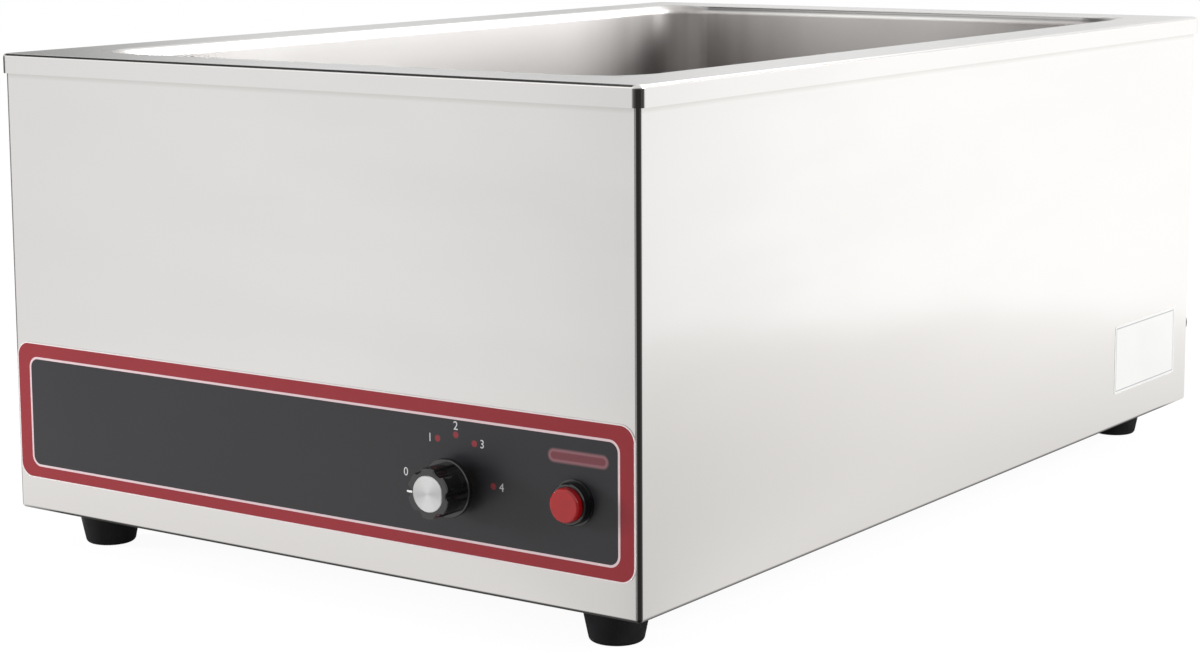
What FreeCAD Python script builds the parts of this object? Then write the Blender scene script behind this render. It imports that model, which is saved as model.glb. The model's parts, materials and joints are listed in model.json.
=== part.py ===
import FreeCAD, Part
import math
import os
from types import SimpleNamespace
import Sketcher
from FreeCAD import Placement, Rotation, Vector

# A countertop food warmer: a drawn stainless deck and well, hung in a folded stainless casing
# on four rubber feet. A tubular element heats the floor of the well, and a thermostat
# behind the front panel, turned by a knob, sets the heat.
#
# The frame: X runs to the right, Y to the back and Z up. The origin is on the table, under
# the middle of the casing. Everything is in millimetres.

DIMENSIONS = {
    "body_width": (370, "casing, side to side"),
    "body_depth": (571, "casing, front to back, rear panel included"),
    "body_height": (224, "bottom of the casing to the top of the deck"),
    "foot_height": (18.5, "table to the bottom of the casing"),
    "sheet_gauge": (0.9, "stainless sheet of the casing, the deck and the well"),
    "casing_corner": (2.5, "folded upright corners of the casing"),
    "casing_bend": (2, "fold along the bottom of the casing"),
    "ledge_bend": (1.5, "fold along the top of the casing, under the deck"),
    "ledge_width": (10, "ledge turned in under the deck"),
    "flange_width": (11.5, "flange turned in under the casing"),
    "rear_flange": (30, "upright flange turned in behind the casing"),
    "rear_opening": (180, "height of the opening between the rear flanges"),
    "deck_overhang": (1.5, "deck skirt, outside the casing on each side"),
    "skirt_drop": (9.5, "depth of the skirt turned down round the deck"),
    "skirt_corner": (4, "upright corners of the skirt"),
    "deck_bend": (1.8, "fold between the deck and its skirt"),
    "well_width": (307, "well, wall to wall, side to side"),
    "well_length": (506, "well, wall to wall, front to back"),
    "well_depth": (165, "deck to the floor of the well"),
    "well_corner": (25, "upright corners of the well"),
    "rim_radius": (5, "rolled edge between the deck and the well"),
    "floor_radius": (15, "rounding between the walls and the floor of the well"),
    "panel_gap": (3, "rear panel, in from the edges of the casing"),
    "rear_screw_inset": (13, "side of the casing to a screw of the rear panel"),
    "base_screw_inset": (7.4, "side of the casing to a screw of the base panel"),
    "tray_rim": (12, "upturned rim of the base panel"),
    "tray_gap": (0.5, "base panel to the walls of the casing"),
    "slot_length": (60, "air slot in the base panel"),
    "slot_width": (4, "air slot in the base panel"),
    "slot_pitch": (14, "step from one air slot to the next"),
    "slot_count": (12, "air slots in a column"),
    "slot_reach": (62, "middle of the casing to the middle of a column"),
    "foot_inset_side": (32.3, "casing side to the axis of a foot"),
    "foot_inset_front": (29.2, "casing front or back to the axis of a foot"),
    "foot_top_radius": (15.9, "rubber foot, where it meets the base"),
    "foot_bottom_radius": (11.9, "rubber foot, before its edge is rounded"),
    "foot_round": (2.2, "rounded lower edge of a foot"),
    "foot_recess_radius": (6.5, "recess in a foot for the head of its bolt"),
    "foot_recess_depth": (9, "depth of that recess"),
    "foot_bolt_radius": (2.5, "bolt through a foot"),
    "screw_radius": (1.65, "sheet metal screw"),
    "screw_head_radius": (3.6, "head of a sheet metal screw"),
    "screw_head": (1.6, "height of that head"),
    "screw_length": (7, "length of a sheet metal screw under its head"),
    "control_height": (46.9, "bottom of the casing to the axis of the knob"),
    "lamp_height": (47.8, "bottom of the casing to the axis of the lamp"),
    "knob_offset": (89.3, "middle of the casing to the axis of the knob"),
    "lamp_offset": (152.2, "middle of the casing to the axis of the lamp"),
    "overlay_width": (365.6, "printed overlay on the front"),
    "overlay_height": (67.4, "printed overlay on the front"),
    "overlay_middle": (50.1, "bottom of the casing to the middle of the overlay"),
    "overlay_corner": (7.5, "corner of the overlay"),
    "overlay_gauge": (0.4, "thickness of the overlay"),
    "knob_reach": (20.2, "front panel to the face of the knob"),
    "knob_gap": (5.4, "overlay to the back of the knob"),
    "knob_rear_radius": (13, "flange at the back of the knob"),
    "knob_front_radius": (11.2, "lobes of the knob"),
    "knob_band": (2.4, "thickness of that flange"),
    "knob_shoulder": (0.6, "rounded front edge of that flange"),
    "knob_edge": (0.5, "rounded edge round the face of the knob"),
    "lobe_round": (0.8, "rounded sides of the lobes, where the flutes begin"),
    "knob_wall": (4.2, "rim of the flange to the hollow behind it"),
    "knob_hollow": (8.6, "depth of the hollow in the back of the knob"),
    "hub_radius": (5.4, "hub inside the knob"),
    "flute_count": (6, "flutes between the lobes"),
    "flute_radius": (3, "cutter that makes a flute"),
    "flute_reach": (12.6, "axis of the knob to the axis of that cutter"),
    "pointer_reach": (11.1, "axis of the knob to the tip of its pointer rib"),
    "pointer_width": (1.2, "pointer rib of the knob"),
    "pointer_proud": (0.3, "pointer rib above the face of the knob"),
    "cap_radius": (8, "bright disc in the face of the knob"),
    "cap_gauge": (1, "thickness of that disc"),
    "cap_proud": (0.4, "disc above the face of the knob"),
    "shaft_radius": (3, "control shaft"),
    "shaft_flat": (1.5, "axis of the shaft to its flat"),
    "shaft_play": (0.06, "gap round the shaft in its bushing"),
    "shaft_tip": (15.4, "front panel to the tip of the shaft"),
    "shaft_tail": (9, "front panel to the inner end of the shaft"),
    "bushing_radius": (4.75, "threaded bushing of the thermostat"),
    "bushing_hole": (5.1, "hole for the bushing in the panel"),
    "bushing_reach": (4.4, "front panel to the end of the bushing"),
    "thermostat_width": (44, "thermostat housing, side to side"),
    "thermostat_height": (40, "thermostat housing, top to bottom"),
    "thermostat_depth": (24, "thermostat housing, front to back"),
    "tab_drop": (12, "axis of the thermostat down to its spade tabs"),
    "tab_length": (8, "spade tab"),
    "tab_width": (6.3, "spade tab"),
    "tab_gauge": (0.8, "spade tab"),
    "lens_rear_radius": (7.7, "lamp lens at the bezel"),
    "lens_front_radius": (7.35, "lamp lens at its face"),
    "lens_reach": (8.7, "front panel to the face of the lens"),
    "lens_wall": (1.2, "thickness of the lens"),
    "bezel_radius": (9.9, "thin flange round the foot of the lamp bezel"),
    "bezel_flange": (1.3, "front panel to the front of that flange"),
    "bezel_front_radius": (9, "lamp bezel at its front"),
    "bezel_reach": (5.8, "front panel to the front of the bezel"),
    "barrel_radius": (6.5, "lamp barrel through the panel"),
    "barrel_wall": (1.1, "wall of that barrel"),
    "barrel_length": (16, "lamp barrel behind the front of the panel"),
    "bulb_glass": (2.6, "radius of the neon bulb"),
    "shield_inset": (27.3, "front of the casing to the heat shield"),
    "shield_width": (76, "heat shield, side to side"),
    "shield_top": (104, "table to the top of the heat shield"),
    "shield_foot": (16, "foot of the heat shield, front to back"),
    "shield_gauge": (0.8, "sheet of the heat shield"),
    "element_radius": (4, "sheath of the heating element"),
    "element_pitch": (66, "one straight run of the element to the next"),
    "element_turn": (160, "middle of the well to the start of a turn of the element"),
    "element_gap": (0.2, "floor of the well to the element"),
    "element_end": (222, "middle of the well to the ends of the sheath"),
    "bush_length": (7, "ceramic bush at an end of the element"),
    "pin_radius": (1.6, "terminal pin of the element"),
    "pin_length": (9, "terminal pin beyond its bush"),
    "clamp_pitch": (130, "one clamp bar to the next"),
    "clamp_length": (236, "clamp bar under the element"),
    "clamp_width": (16, "clamp bar under the element"),
    "clamp_gauge": (1.5, "clamp bar under the element"),
    "stud_radius": (2.5, "stud welded under the well"),
    "stud_length": (26, "stud welded under the well"),
    "reflector_width": (250, "tray under the element, side to side"),
    "reflector_length": (424, "tray under the element, front to back"),
    "reflector_rim": (8, "upturned rim of that tray"),
    "reflector_gauge": (0.5, "sheet of that tray"),
    "slab_thickness": (12, "insulating slab under the reflector"),
    "slab_inset": (3, "edge of the slab, in from the edge of the reflector"),
    "blanket_thickness": (10, "insulating blanket round the well"),
    "blanket_gap": (0.3, "well to the blanket"),
    "blanket_low": (80, "table to the lower edge of the blanket"),
    "blanket_high": (226, "table to the upper edge of the blanket"),
    "limiter_inset": (23, "front wall of the well to the axis of the cut-out"),
    "limiter_screw": (13, "axis of the cut-out to a stud that holds it"),
    "limiter_height": (13, "floor of the well to the base of the cut-out"),
    "bulb_offset": (129.5, "middle of the casing to the sensing bulb"),
    "bulb_front": (120, "middle of the casing to the front end of the sensing bulb"),
    "bulb_radius": (3, "sensing bulb of the thermostat"),
    "bulb_length": (90, "sensing bulb of the thermostat"),
    "block_offset": (112, "middle of the casing to the middle of the terminal block"),
    "block_back": (238, "middle of the casing to the middle of the terminal block"),
    "block_length": (48, "terminal block, side to side"),
    "block_width": (20, "terminal block, front to back"),
    "block_height": (17, "terminal block"),
    "lane_pitch": (15, "one wire of the terminal block to the next"),
    "lane_height": (8, "base panel to a wire in the terminal block"),
    "lane_radius": (2.6, "bore for a wire in the terminal block"),
    "earth_offset": (52, "middle of the casing to the earth stud"),
    "earth_back": (243, "middle of the casing to the earth stud"),
    "earth_stud_height": (18, "earth stud above the base panel"),
    "earth_nut": (4, "height of a nut on the earth stud"),
    "earth_tag": (1.2, "thickness of the tag on the earth lead"),
    "gland_inset": (16.8, "right side of the casing to the axis of the cord gland"),
    "gland_height": (42.3, "bottom of the casing to the axis of the cord gland"),
    "gland_reach": (20.6, "rear panel to the end of the gland"),
    "gland_thread": (7.6, "thread of the gland through the rear panel"),
    "gland_shoulder": (4.4, "flange of the gland outside the rear panel"),
    "gland_tail": (10, "thread of the gland inside the rear panel"),
    "gland_nut_radius": (9.35, "cap nut of the gland"),
    "cord_radius": (4, "bore of the seal that grips the cord"),
    "seal_radius": (6.2, "rubber seal of the gland"),
    "seal_end": (16, "rear panel to the outer end of the seal"),
    "wire_radius": (1.5, "insulated wire"),
    "thin_wire_radius": (0.8, "insulated wire of the lamp"),
    "capillary_radius": (0.9, "capillary tube of the thermostat"),
}


class Size:
    """A number together with the formula on the sheet that gives it."""

    def __init__(self, value, text=None):
        self.value = float(value)
        self.text = text or str(value)

    def wrapped(self):
        plain = " " not in self.text and not self.text.startswith("-")
        return self.text if plain else f"({self.text})"

    def __float__(self):
        return self.value

    def __neg__(self):
        return Size(-self.value, f"-{self.wrapped()}")

    def __add__(self, other):
        other = as_size(other)
        return Size(self.value + other.value, f"{self.text} + {other.wrapped()}")

    def __sub__(self, other):
        other = as_size(other)
        return Size(self.value - other.value, f"{self.text} - {other.wrapped()}")

    def __mul__(self, other):
        other = as_size(other)
        return Size(self.value * other.value, f"{self.wrapped()} * {other.wrapped()}")

    def __truediv__(self, other):
        other = as_size(other)
        return Size(self.value / other.value, f"{self.wrapped()} / {other.wrapped()}")

    def __radd__(self, other):
        return as_size(other) + self

    def __rsub__(self, other):
        return as_size(other) - self

    def __rmul__(self, other):
        return as_size(other) * self


def as_size(number):
    return number if isinstance(number, Size) else Size(number)


doc = FreeCAD.newDocument("FoodWarmer")
sheet = doc.addObject("Spreadsheet::Sheet", "Dims")
dim = SimpleNamespace()
for row, (alias, (number, meaning)) in enumerate(DIMENSIONS.items(), start=1):
    sheet.set(f"A{row}", alias)
    sheet.set(f"B{row}", str(number))
    sheet.set(f"C{row}", meaning)
    sheet.setAlias(f"B{row}", alias)
    setattr(dim, alias, Size(number, f"Dims.{alias}"))
doc.recompute()

nodes = {}

OUT_OF_FRONT = Rotation(Vector(1, 0, 0), 90)
OUT_OF_REAR = Rotation(Vector(1, 0, 0), -90)
UPSIDE_DOWN = Rotation(Vector(1, 0, 0), 180)

# Levels and faces where pieces meet.
FRONT = -dim.body_depth / 2
REAR = dim.body_depth / 2
CASING_LOW = dim.foot_height
BASE_UNDER = CASING_LOW + dim.sheet_gauge
BASE_TOP = BASE_UNDER + dim.sheet_gauge
DECK_TOP = CASING_LOW + dim.body_height
CASING_TOP = DECK_TOP - dim.sheet_gauge
CASING_DEPTH = dim.body_depth - dim.sheet_gauge
CASING_MIDDLE = -dim.sheet_gauge / 2
WELL_FLOOR = DECK_TOP - dim.well_depth
FLOOR_UNDER = WELL_FLOOR - dim.sheet_gauge
ELEMENT_LEVEL = FLOOR_UNDER - dim.element_gap - dim.element_radius
CLAMP_UNDER = ELEMENT_LEVEL - dim.element_radius - dim.clamp_gauge
REFLECTOR_UNDER = CLAMP_UNDER - dim.reflector_gauge
SLAB_UNDER = REFLECTOR_UNDER - dim.slab_thickness
CONTROL_LEVEL = CASING_LOW + dim.control_height
LAMP_LEVEL = CASING_LOW + dim.lamp_height
BULB_LEVEL = FLOOR_UNDER - dim.bulb_radius - 0.2
TAB_Y = FRONT + 14
TAB_LOW = CONTROL_LEVEL - dim.tab_drop - dim.tab_width / 2
TAB_LEVEL = CONTROL_LEVEL - dim.tab_drop
TAB_LEFT = dim.knob_offset - dim.thermostat_width / 2 - dim.tab_length
TAB_RIGHT = dim.knob_offset + dim.thermostat_width / 2 + dim.tab_length
PIN_X = 1.5 * dim.element_pitch
PIN_END = -dim.element_end - dim.bush_length - dim.pin_length
LIMITER_Y = dim.limiter_inset - dim.well_length / 2
LIMITER_TAB_X = 4.5
LIMITER_TAB_END = FLOOR_UNDER - dim.limiter_height - dim.tab_length
LANE_LEVEL = BASE_TOP + dim.lane_height
TAG_LEVEL = BASE_TOP + dim.earth_nut

THREAD_GAP = 0.05
HOLE_GAP = 0.3
CUTTER = 1.0


def four_ways(x, y):
    """The places at plus and minus x and y."""
    return [(-x, -y), (x, -y), (-x, y), (x, y)]


# Places that several pieces share.
REAR_SCREWS = [
    (side * (dim.body_width / 2 - dim.rear_screw_inset), CASING_LOW + height)
    for side in (-1, 1) for height in (18, 110, 206)
]
SIDE_SCREWS = [
    (side * (dim.body_width / 2 - dim.base_screw_inset), y)
    for side in (-1, 1) for y in (-190, 0, 190)
]
BASE_SCREWS = SIDE_SCREWS + four_ways(as_size(90), REAR - dim.base_screw_inset)
FEET = four_ways(dim.body_width / 2 - dim.foot_inset_side, REAR - dim.foot_inset_front)
STUDS = [
    (side * dim.element_pitch, row * dim.clamp_pitch) for row in (-1, 0, 1) for side in (-1, 1)
]
LIMITER_STUDS = [(side * dim.limiter_screw, LIMITER_Y) for side in (-1, 1)]
GLAND = (dim.body_width / 2 - dim.gland_inset, CASING_LOW + dim.gland_height)


def bind(thing, prop, size):
    """Ties a property of thing to its formula on the sheet."""
    thing.setExpression(prop, as_size(size).text)


def place(thing, x=0, y=0, z=0, turn=None):
    """Puts thing at x, y and z, turned by a fixed rotation."""
    thing.Placement = Placement(Vector(float(x), float(y), float(z)), turn or Rotation())
    for axis, size in zip("xyz", (x, y, z)):
        bind(thing, f"Placement.Base.{axis}", size)
    return thing


def on_front(thing, x, height=dim.control_height, out=0):
    """Puts thing on the front panel: its own Z points out of the panel and its own Y up."""
    return place(thing, x, FRONT - out, CASING_LOW + height, OUT_OF_FRONT)


def keep(label, thing):
    """Registers thing as the sub-part of that name."""
    thing.Label = label
    nodes[label] = thing
    return thing


# Sketches


def new_body(label):
    return keep(label, doc.addObject("PartDesign::Body", label))


def new_sketch(body, name, role="XY_Plane", x=0, y=0, z=0):
    """A sketch on one of the body's origin planes, shifted along the plane's own axes."""
    sketch = body.newObject("Sketcher::SketchObject", f"{body.Name}_{name}")
    origin_plane = next(f for f in body.Origin.OriginFeatures if f.Role == role)
    sketch.AttachmentSupport = [(origin_plane, "")]
    sketch.MapMode = "FlatFace"
    sketch.AttachmentOffset = Placement(Vector(float(x), float(y), float(z)), Rotation())
    for axis, size in zip("xyz", (x, y, z)):
        bind(sketch, f"AttachmentOffset.Base.{axis}", size)
    return sketch


def constrain(sketch, kind, *where, name=None, size=None):
    """Adds a constraint, tied to the sheet where it has a size."""
    if size is None:
        sketch.addConstraint(Sketcher.Constraint(kind, *where))
        return
    number = sketch.addConstraint(Sketcher.Constraint(kind, *where, float(size)))
    sketch.renameConstraint(number, name)
    bind(sketch, f"Constraints.{name}", size)


def rounded_rectangle(sketch, width, height, corner, name="frame"):
    """A rectangle with round corners, centred on the sketch's own origin."""
    half_width, half_height, radius = float(width) / 2, float(height) / 2, float(corner)
    inner_x, inner_y = half_width - radius, half_height - radius
    first = sketch.GeometryCount
    sides = [
        (Vector(-inner_x, -half_height), Vector(inner_x, -half_height)),
        (Vector(half_width, -inner_y), Vector(half_width, inner_y)),
        (Vector(inner_x, half_height), Vector(-inner_x, half_height)),
        (Vector(-half_width, inner_y), Vector(-half_width, -inner_y)),
    ]
    for start, end in sides:
        sketch.addGeometry(Part.LineSegment(start, end))
    centres = [(inner_x, -inner_y), (inner_x, inner_y), (-inner_x, inner_y), (-inner_x, -inner_y)]
    for quarter, (x, y) in enumerate(centres):
        circle = Part.Circle(Vector(x, y), Vector(0, 0, 1), radius)
        begin = math.pi / 2 * (quarter - 1)
        sketch.addGeometry(Part.ArcOfCircle(circle, begin, begin + math.pi / 2))
    for side in range(4):
        constrain(sketch, "Tangent", first + side, 2, first + 4 + side, 1)
        constrain(sketch, "Tangent", first + 4 + side, 2, first + (side + 1) % 4, 1)
    for side, kind in enumerate(("Horizontal", "Vertical", "Horizontal", "Vertical")):
        constrain(sketch, kind, first + side)
    constrain(sketch, "Equal", first + 4, first + 5)
    constrain(sketch, "Equal", first + 4, first + 6)
    constrain(sketch, "Symmetric", first + 4, 3, first + 6, 3, -1, 1)
    constrain(sketch, "Radius", first + 4, name=f"{name}_corner", size=corner)
    constrain(sketch, "DistanceX", first + 3, 1, first + 1, 2, name=f"{name}_width", size=width)
    constrain(sketch, "DistanceY", first, 2, first + 2, 1, name=f"{name}_height", size=height)
    return sketch


def hold_point(sketch, number, end, x, y, name):
    """Holds a point at x and y, on the axis itself where one of them is nought."""
    for kind, size, axis in (("DistanceX", x, -2), ("DistanceY", y, -1)):
        if abs(float(size)) < 1e-9:
            constrain(sketch, "PointOnObject", number, end, axis)
        elif float(size) > 0:
            constrain(sketch, kind, -1, 1, number, end, name=f"{name}_{kind}", size=size)
        else:
            constrain(sketch, kind, number, end, -1, 1, name=f"{name}_{kind}", size=-size)


def add_circle(sketch, radius, x=0, y=0, name="round"):
    """A circle whose centre is held by its distances from the sketch's origin."""
    circle = Part.Circle(Vector(float(x), float(y)), Vector(0, 0, 1), float(radius))
    number = sketch.addGeometry(circle)
    hold_point(sketch, number, 3, x, y, name)
    constrain(sketch, "Radius", number, name=f"{name}_radius", size=radius)
    return sketch


def add_outline(sketch, corners):
    """A closed outline of straight lines through corners."""
    spots = [Vector(float(x), float(y)) for x, y in corners]
    count = len(spots)
    for i in range(count):
        sketch.addGeometry(Part.LineSegment(spots[i], spots[(i + 1) % count]))
    for i, (x, y) in enumerate(corners):
        constrain(sketch, "Coincident", i, 2, (i + 1) % count, 1)
        hold_point(sketch, i, 1, x, y, f"p{i}")
    return sketch


# Features


def grow(body, kind, sketch, length, back):
    """Adds a pad or a pocket of a sketch, and makes sure that it changed the solid."""
    before = body.Shape.Volume if body.Tip else 0.0
    feature = body.newObject(f"PartDesign::{kind}", f"{sketch.Name}_{kind.lower()}")
    feature.Profile = sketch
    bind(feature, "Length", length)
    feature.Reversed = back
    doc.recompute()
    change = feature.Shape.Volume - before
    assert (change > 1e-3) if kind == "Pad" else (change < -1e-3), f"{feature.Name} did nothing"
    return feature


def pad(body, sketch, length, back=False):
    return grow(body, "Pad", sketch, length, back)


def pocket(body, sketch, length, back=False):
    return grow(body, "Pocket", sketch, length, back)


def turn_profile(body, corners, name="profile"):
    """Turns an outline, given as distances from the axis and along it, round the body's Z axis."""
    sketch = add_outline(new_sketch(body, name, "XZ_Plane"), corners)
    feature = body.newObject("PartDesign::Revolution", f"{sketch.Name}_turned")
    feature.Profile = sketch
    feature.ReferenceAxis = (sketch, ["V_Axis"])
    feature.Angle = 360
    doc.recompute()
    return feature


def repeat_round(body, feature, sketch, count):
    """Repeats a feature evenly round the axis of its sketch."""
    ring = body.newObject("PartDesign::PolarPattern", f"{sketch.Name}_ring")
    ring.Originals = [feature]
    ring.Axis = (sketch, ["N_Axis"])
    ring.Angle = 360
    bind(ring, "Occurrences", count)
    body.Tip = ring
    doc.recompute()


def round_edges(body, radius, wanted):
    """Rounds the edges that pass the test wanted."""
    base = body.Tip
    edges = [f"Edge{i}" for i, edge in enumerate(base.Shape.Edges, start=1) if wanted(edge)]
    assert edges, f"no edge to round on {body.Label}"
    feature = body.newObject("PartDesign::Fillet", f"{base.Name}_fillet")
    feature.Base = (base, edges)
    bind(feature, "Radius", radius)
    doc.recompute()


def hollow(body, gauge, wanted):
    """Leaves a wall of that gauge inside the surface, open at the faces that pass the test."""
    base = body.Tip
    faces = [f"Face{i}" for i, face in enumerate(base.Shape.Faces, start=1) if wanted(face)]
    assert faces, f"no face to open on {body.Label}"
    feature = body.newObject("PartDesign::Thickness", f"{base.Name}_shell")
    feature.Base = (base, faces)
    bind(feature, "Value", gauge)
    feature.Reversed = True
    doc.recompute()


def at_level(z, inside=math.inf, outside=0.0):
    """A test for edges and faces that lie flat at z and reach between outside and inside in X."""

    def wanted(shape):
        box = shape.BoundBox
        flat = abs(box.ZMin - float(z)) < 1e-4 and abs(box.ZMax - float(z)) < 1e-4
        reach = max(abs(box.XMin), abs(box.XMax))
        return flat and float(outside) - 1e-4 < reach < float(inside)

    return wanted


def punch(body, name, spots, radius, start, length, role="XY_Plane", back=True):
    """Round holes at spots, from a plane at start along its normal."""
    sketch = new_sketch(body, name, role, z=start)
    for i, (x, y) in enumerate(spots):
        add_circle(sketch, radius, x, y, f"hole{i}")
    return pocket(body, sketch, length, back)


def punch_up(body, name, spots, radius, under, thickness=dim.sheet_gauge):
    """Holes through a level wall of that thickness, whose underside is at under."""
    return punch(body, name, spots, radius, under - CUTTER, thickness + 2 * CUTTER)


def punch_back(body, name, spots, radius, y, thickness):
    """Holes through an upright wall of that thickness, whose front side is at y."""
    length = thickness + 2 * CUTTER
    return punch(body, name, spots, radius, CUTTER - y, length, "XZ_Plane", back=False)


# Plain solids and fasteners


def cylinder(name, radius, height, x=0, y=0, z=0, turn=None):
    solid = doc.addObject("Part::Cylinder", name)
    bind(solid, "Radius", radius)
    bind(solid, "Height", height)
    return place(solid, x, y, z, turn)


def block(name, width, depth, height, x=0, y=0, z=0):
    """A box centred on x and y, standing on z."""
    solid = doc.addObject("Part::Box", name)
    bind(solid, "Length", width)
    bind(solid, "Width", depth)
    bind(solid, "Height", height)
    return place(solid, x - as_size(width) / 2, y - as_size(depth) / 2, z)


def fuse(name, parts):
    whole = doc.addObject("Part::MultiFuse", name)
    whole.Shapes = parts
    return whole


def cut(name, base, tool):
    rest = doc.addObject("Part::Cut", name)
    rest.Base = base
    rest.Tool = tool
    return rest


def group(label, parts):
    """One sub-part made of separate solids, such as the screws of a panel."""
    together = doc.addObject("Part::Compound", label)
    together.Links = parts
    return keep(label, together)


def screw(name, head_radius, head, radius, length):
    """A screw whose head stands on its own origin, with the shank below it."""
    return fuse(name, [
        cylinder(f"{name}_head", head_radius, head),
        cylinder(f"{name}_shank", radius, length, z=-length),
    ])


def sheet_screw(name):
    return screw(name, dim.screw_head_radius, dim.screw_head, dim.screw_radius, dim.screw_length)


def nut(name, across, height, bore):
    """A hexagonal nut of that size across its flats, standing on its own origin."""
    solid = doc.addObject("Part::Prism", f"{name}_hexagon")
    solid.Polygon = 6
    bind(solid, "Circumradius", across / math.sqrt(3))
    bind(solid, "Height", height)
    return cut(name, solid, cylinder(f"{name}_bore", bore, height))


def washer(name, radius, height, bore):
    disc = cylinder(f"{name}_disc", radius, height)
    return cut(name, disc, cylinder(f"{name}_bore", bore, height))


# Sheet metal


def make_well_pan():
    """Deck, skirt and well in one sheet: a block with the well sunk in it, shelled from below."""
    body = new_body("well_pan")
    block_low = WELL_FLOOR - 10
    deck = new_sketch(body, "deck", z=DECK_TOP)
    deck_size = (dim.body_width + 2 * dim.deck_overhang, dim.body_depth + 2 * dim.deck_overhang)
    rounded_rectangle(deck, *deck_size, dim.skirt_corner)
    pad(body, deck, DECK_TOP - block_low, back=True)
    well = new_sketch(body, "well", z=DECK_TOP)
    rounded_rectangle(well, dim.well_width, dim.well_length, dim.well_corner)
    pocket(body, well, dim.well_depth)
    half_well = dim.well_width / 2 + 1
    round_edges(body, dim.rim_radius, at_level(DECK_TOP, inside=half_well))
    round_edges(body, dim.floor_radius, at_level(WELL_FLOOR, inside=half_well))
    round_edges(body, dim.deck_bend, at_level(DECK_TOP, outside=dim.body_width / 2 - 5))
    hollow(body, dim.sheet_gauge, at_level(block_low))
    trim = new_sketch(body, "trim", z=block_low - CUTTER)
    rounded_rectangle(trim, dim.body_width + 20, dim.body_depth + 20, dim.skirt_corner, "outside")
    rounded_rectangle(trim, dim.well_width + 30, dim.well_length + 30, dim.well_corner, "inside")
    pocket(body, trim, DECK_TOP - dim.skirt_drop - block_low + CUTTER, back=True)


def make_casing():
    """Front and sides in one sheet, with a ledge under the deck and flanges below and behind."""
    body = new_body("casing_wrap")
    plan = new_sketch(body, "plan", y=CASING_MIDDLE, z=CASING_LOW)
    rounded_rectangle(plan, dim.body_width, CASING_DEPTH, dim.casing_corner)
    pad(body, plan, CASING_TOP - CASING_LOW)
    round_edges(body, dim.casing_bend, at_level(CASING_LOW))
    hollow(body, dim.sheet_gauge, at_level(CASING_TOP))
    ledge = new_sketch(body, "ledge", y=CASING_MIDDLE, z=CASING_TOP)
    inset = 2 * dim.ledge_width
    rounded_rectangle(ledge, dim.body_width, CASING_DEPTH, dim.casing_corner, "outside")
    rounded_rectangle(ledge, dim.body_width - inset, CASING_DEPTH - inset, 3, "inside")
    pad(body, ledge, dim.sheet_gauge, back=True)
    round_edges(body, dim.ledge_bend, at_level(CASING_TOP, outside=dim.body_width / 2 - 4))
    below = new_sketch(body, "below", y=CASING_MIDDLE, z=CASING_LOW - CUTTER)
    inset = 2 * dim.flange_width
    rounded_rectangle(below, dim.body_width - inset, CASING_DEPTH - inset, 4)
    pocket(body, below, dim.sheet_gauge + 2 * CUTTER, back=True)
    inner_rear = REAR - 2 * dim.sheet_gauge
    middle = CASING_LOW + dim.body_height / 2
    behind = new_sketch(body, "behind", "XZ_Plane", y=middle, z=CUTTER - inner_rear)
    rounded_rectangle(behind, dim.body_width - 2 * dim.rear_flange, dim.rear_opening, 6)
    gauge = dim.sheet_gauge
    pocket(body, behind, gauge + 2 * CUTTER)
    punch_back(body, "bushing", [(dim.knob_offset, CONTROL_LEVEL)], dim.bushing_hole, FRONT, gauge)
    lamp_hole = dim.barrel_radius + 0.1
    punch_back(body, "lamp", [(dim.lamp_offset, LAMP_LEVEL)], lamp_hole, FRONT, gauge)
    punch_back(body, "gland", [GLAND], dim.gland_thread + 0.1, inner_rear, gauge)
    punch_back(body, "rear_screws", REAR_SCREWS, dim.screw_radius + THREAD_GAP, inner_rear, gauge)
    punch_up(body, "base_screws", BASE_SCREWS, dim.screw_radius + HOLE_GAP, CASING_LOW)


def make_rear_panel():
    """A flat panel on the casing's rear flange, and its screws."""
    body = new_body("rear_panel")
    inner = REAR - dim.sheet_gauge
    low = CASING_LOW + dim.panel_gap
    top = CASING_TOP - dim.ledge_bend
    face = new_sketch(body, "face", "XZ_Plane", y=(top + low) / 2, z=-inner)
    rounded_rectangle(face, dim.body_width - 2 * dim.panel_gap, top - low, 3)
    pad(body, face, dim.sheet_gauge, back=True)
    punch_back(body, "screws", REAR_SCREWS, dim.screw_radius + HOLE_GAP, inner, dim.sheet_gauge)
    punch_back(body, "gland", [GLAND], dim.gland_thread + 0.1, inner, dim.sheet_gauge)
    group("rear_panel_screws", [
        place(sheet_screw(f"rear_screw_{i}"), x, REAR, z, OUT_OF_REAR)
        for i, (x, z) in enumerate(REAR_SCREWS)
    ])


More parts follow.
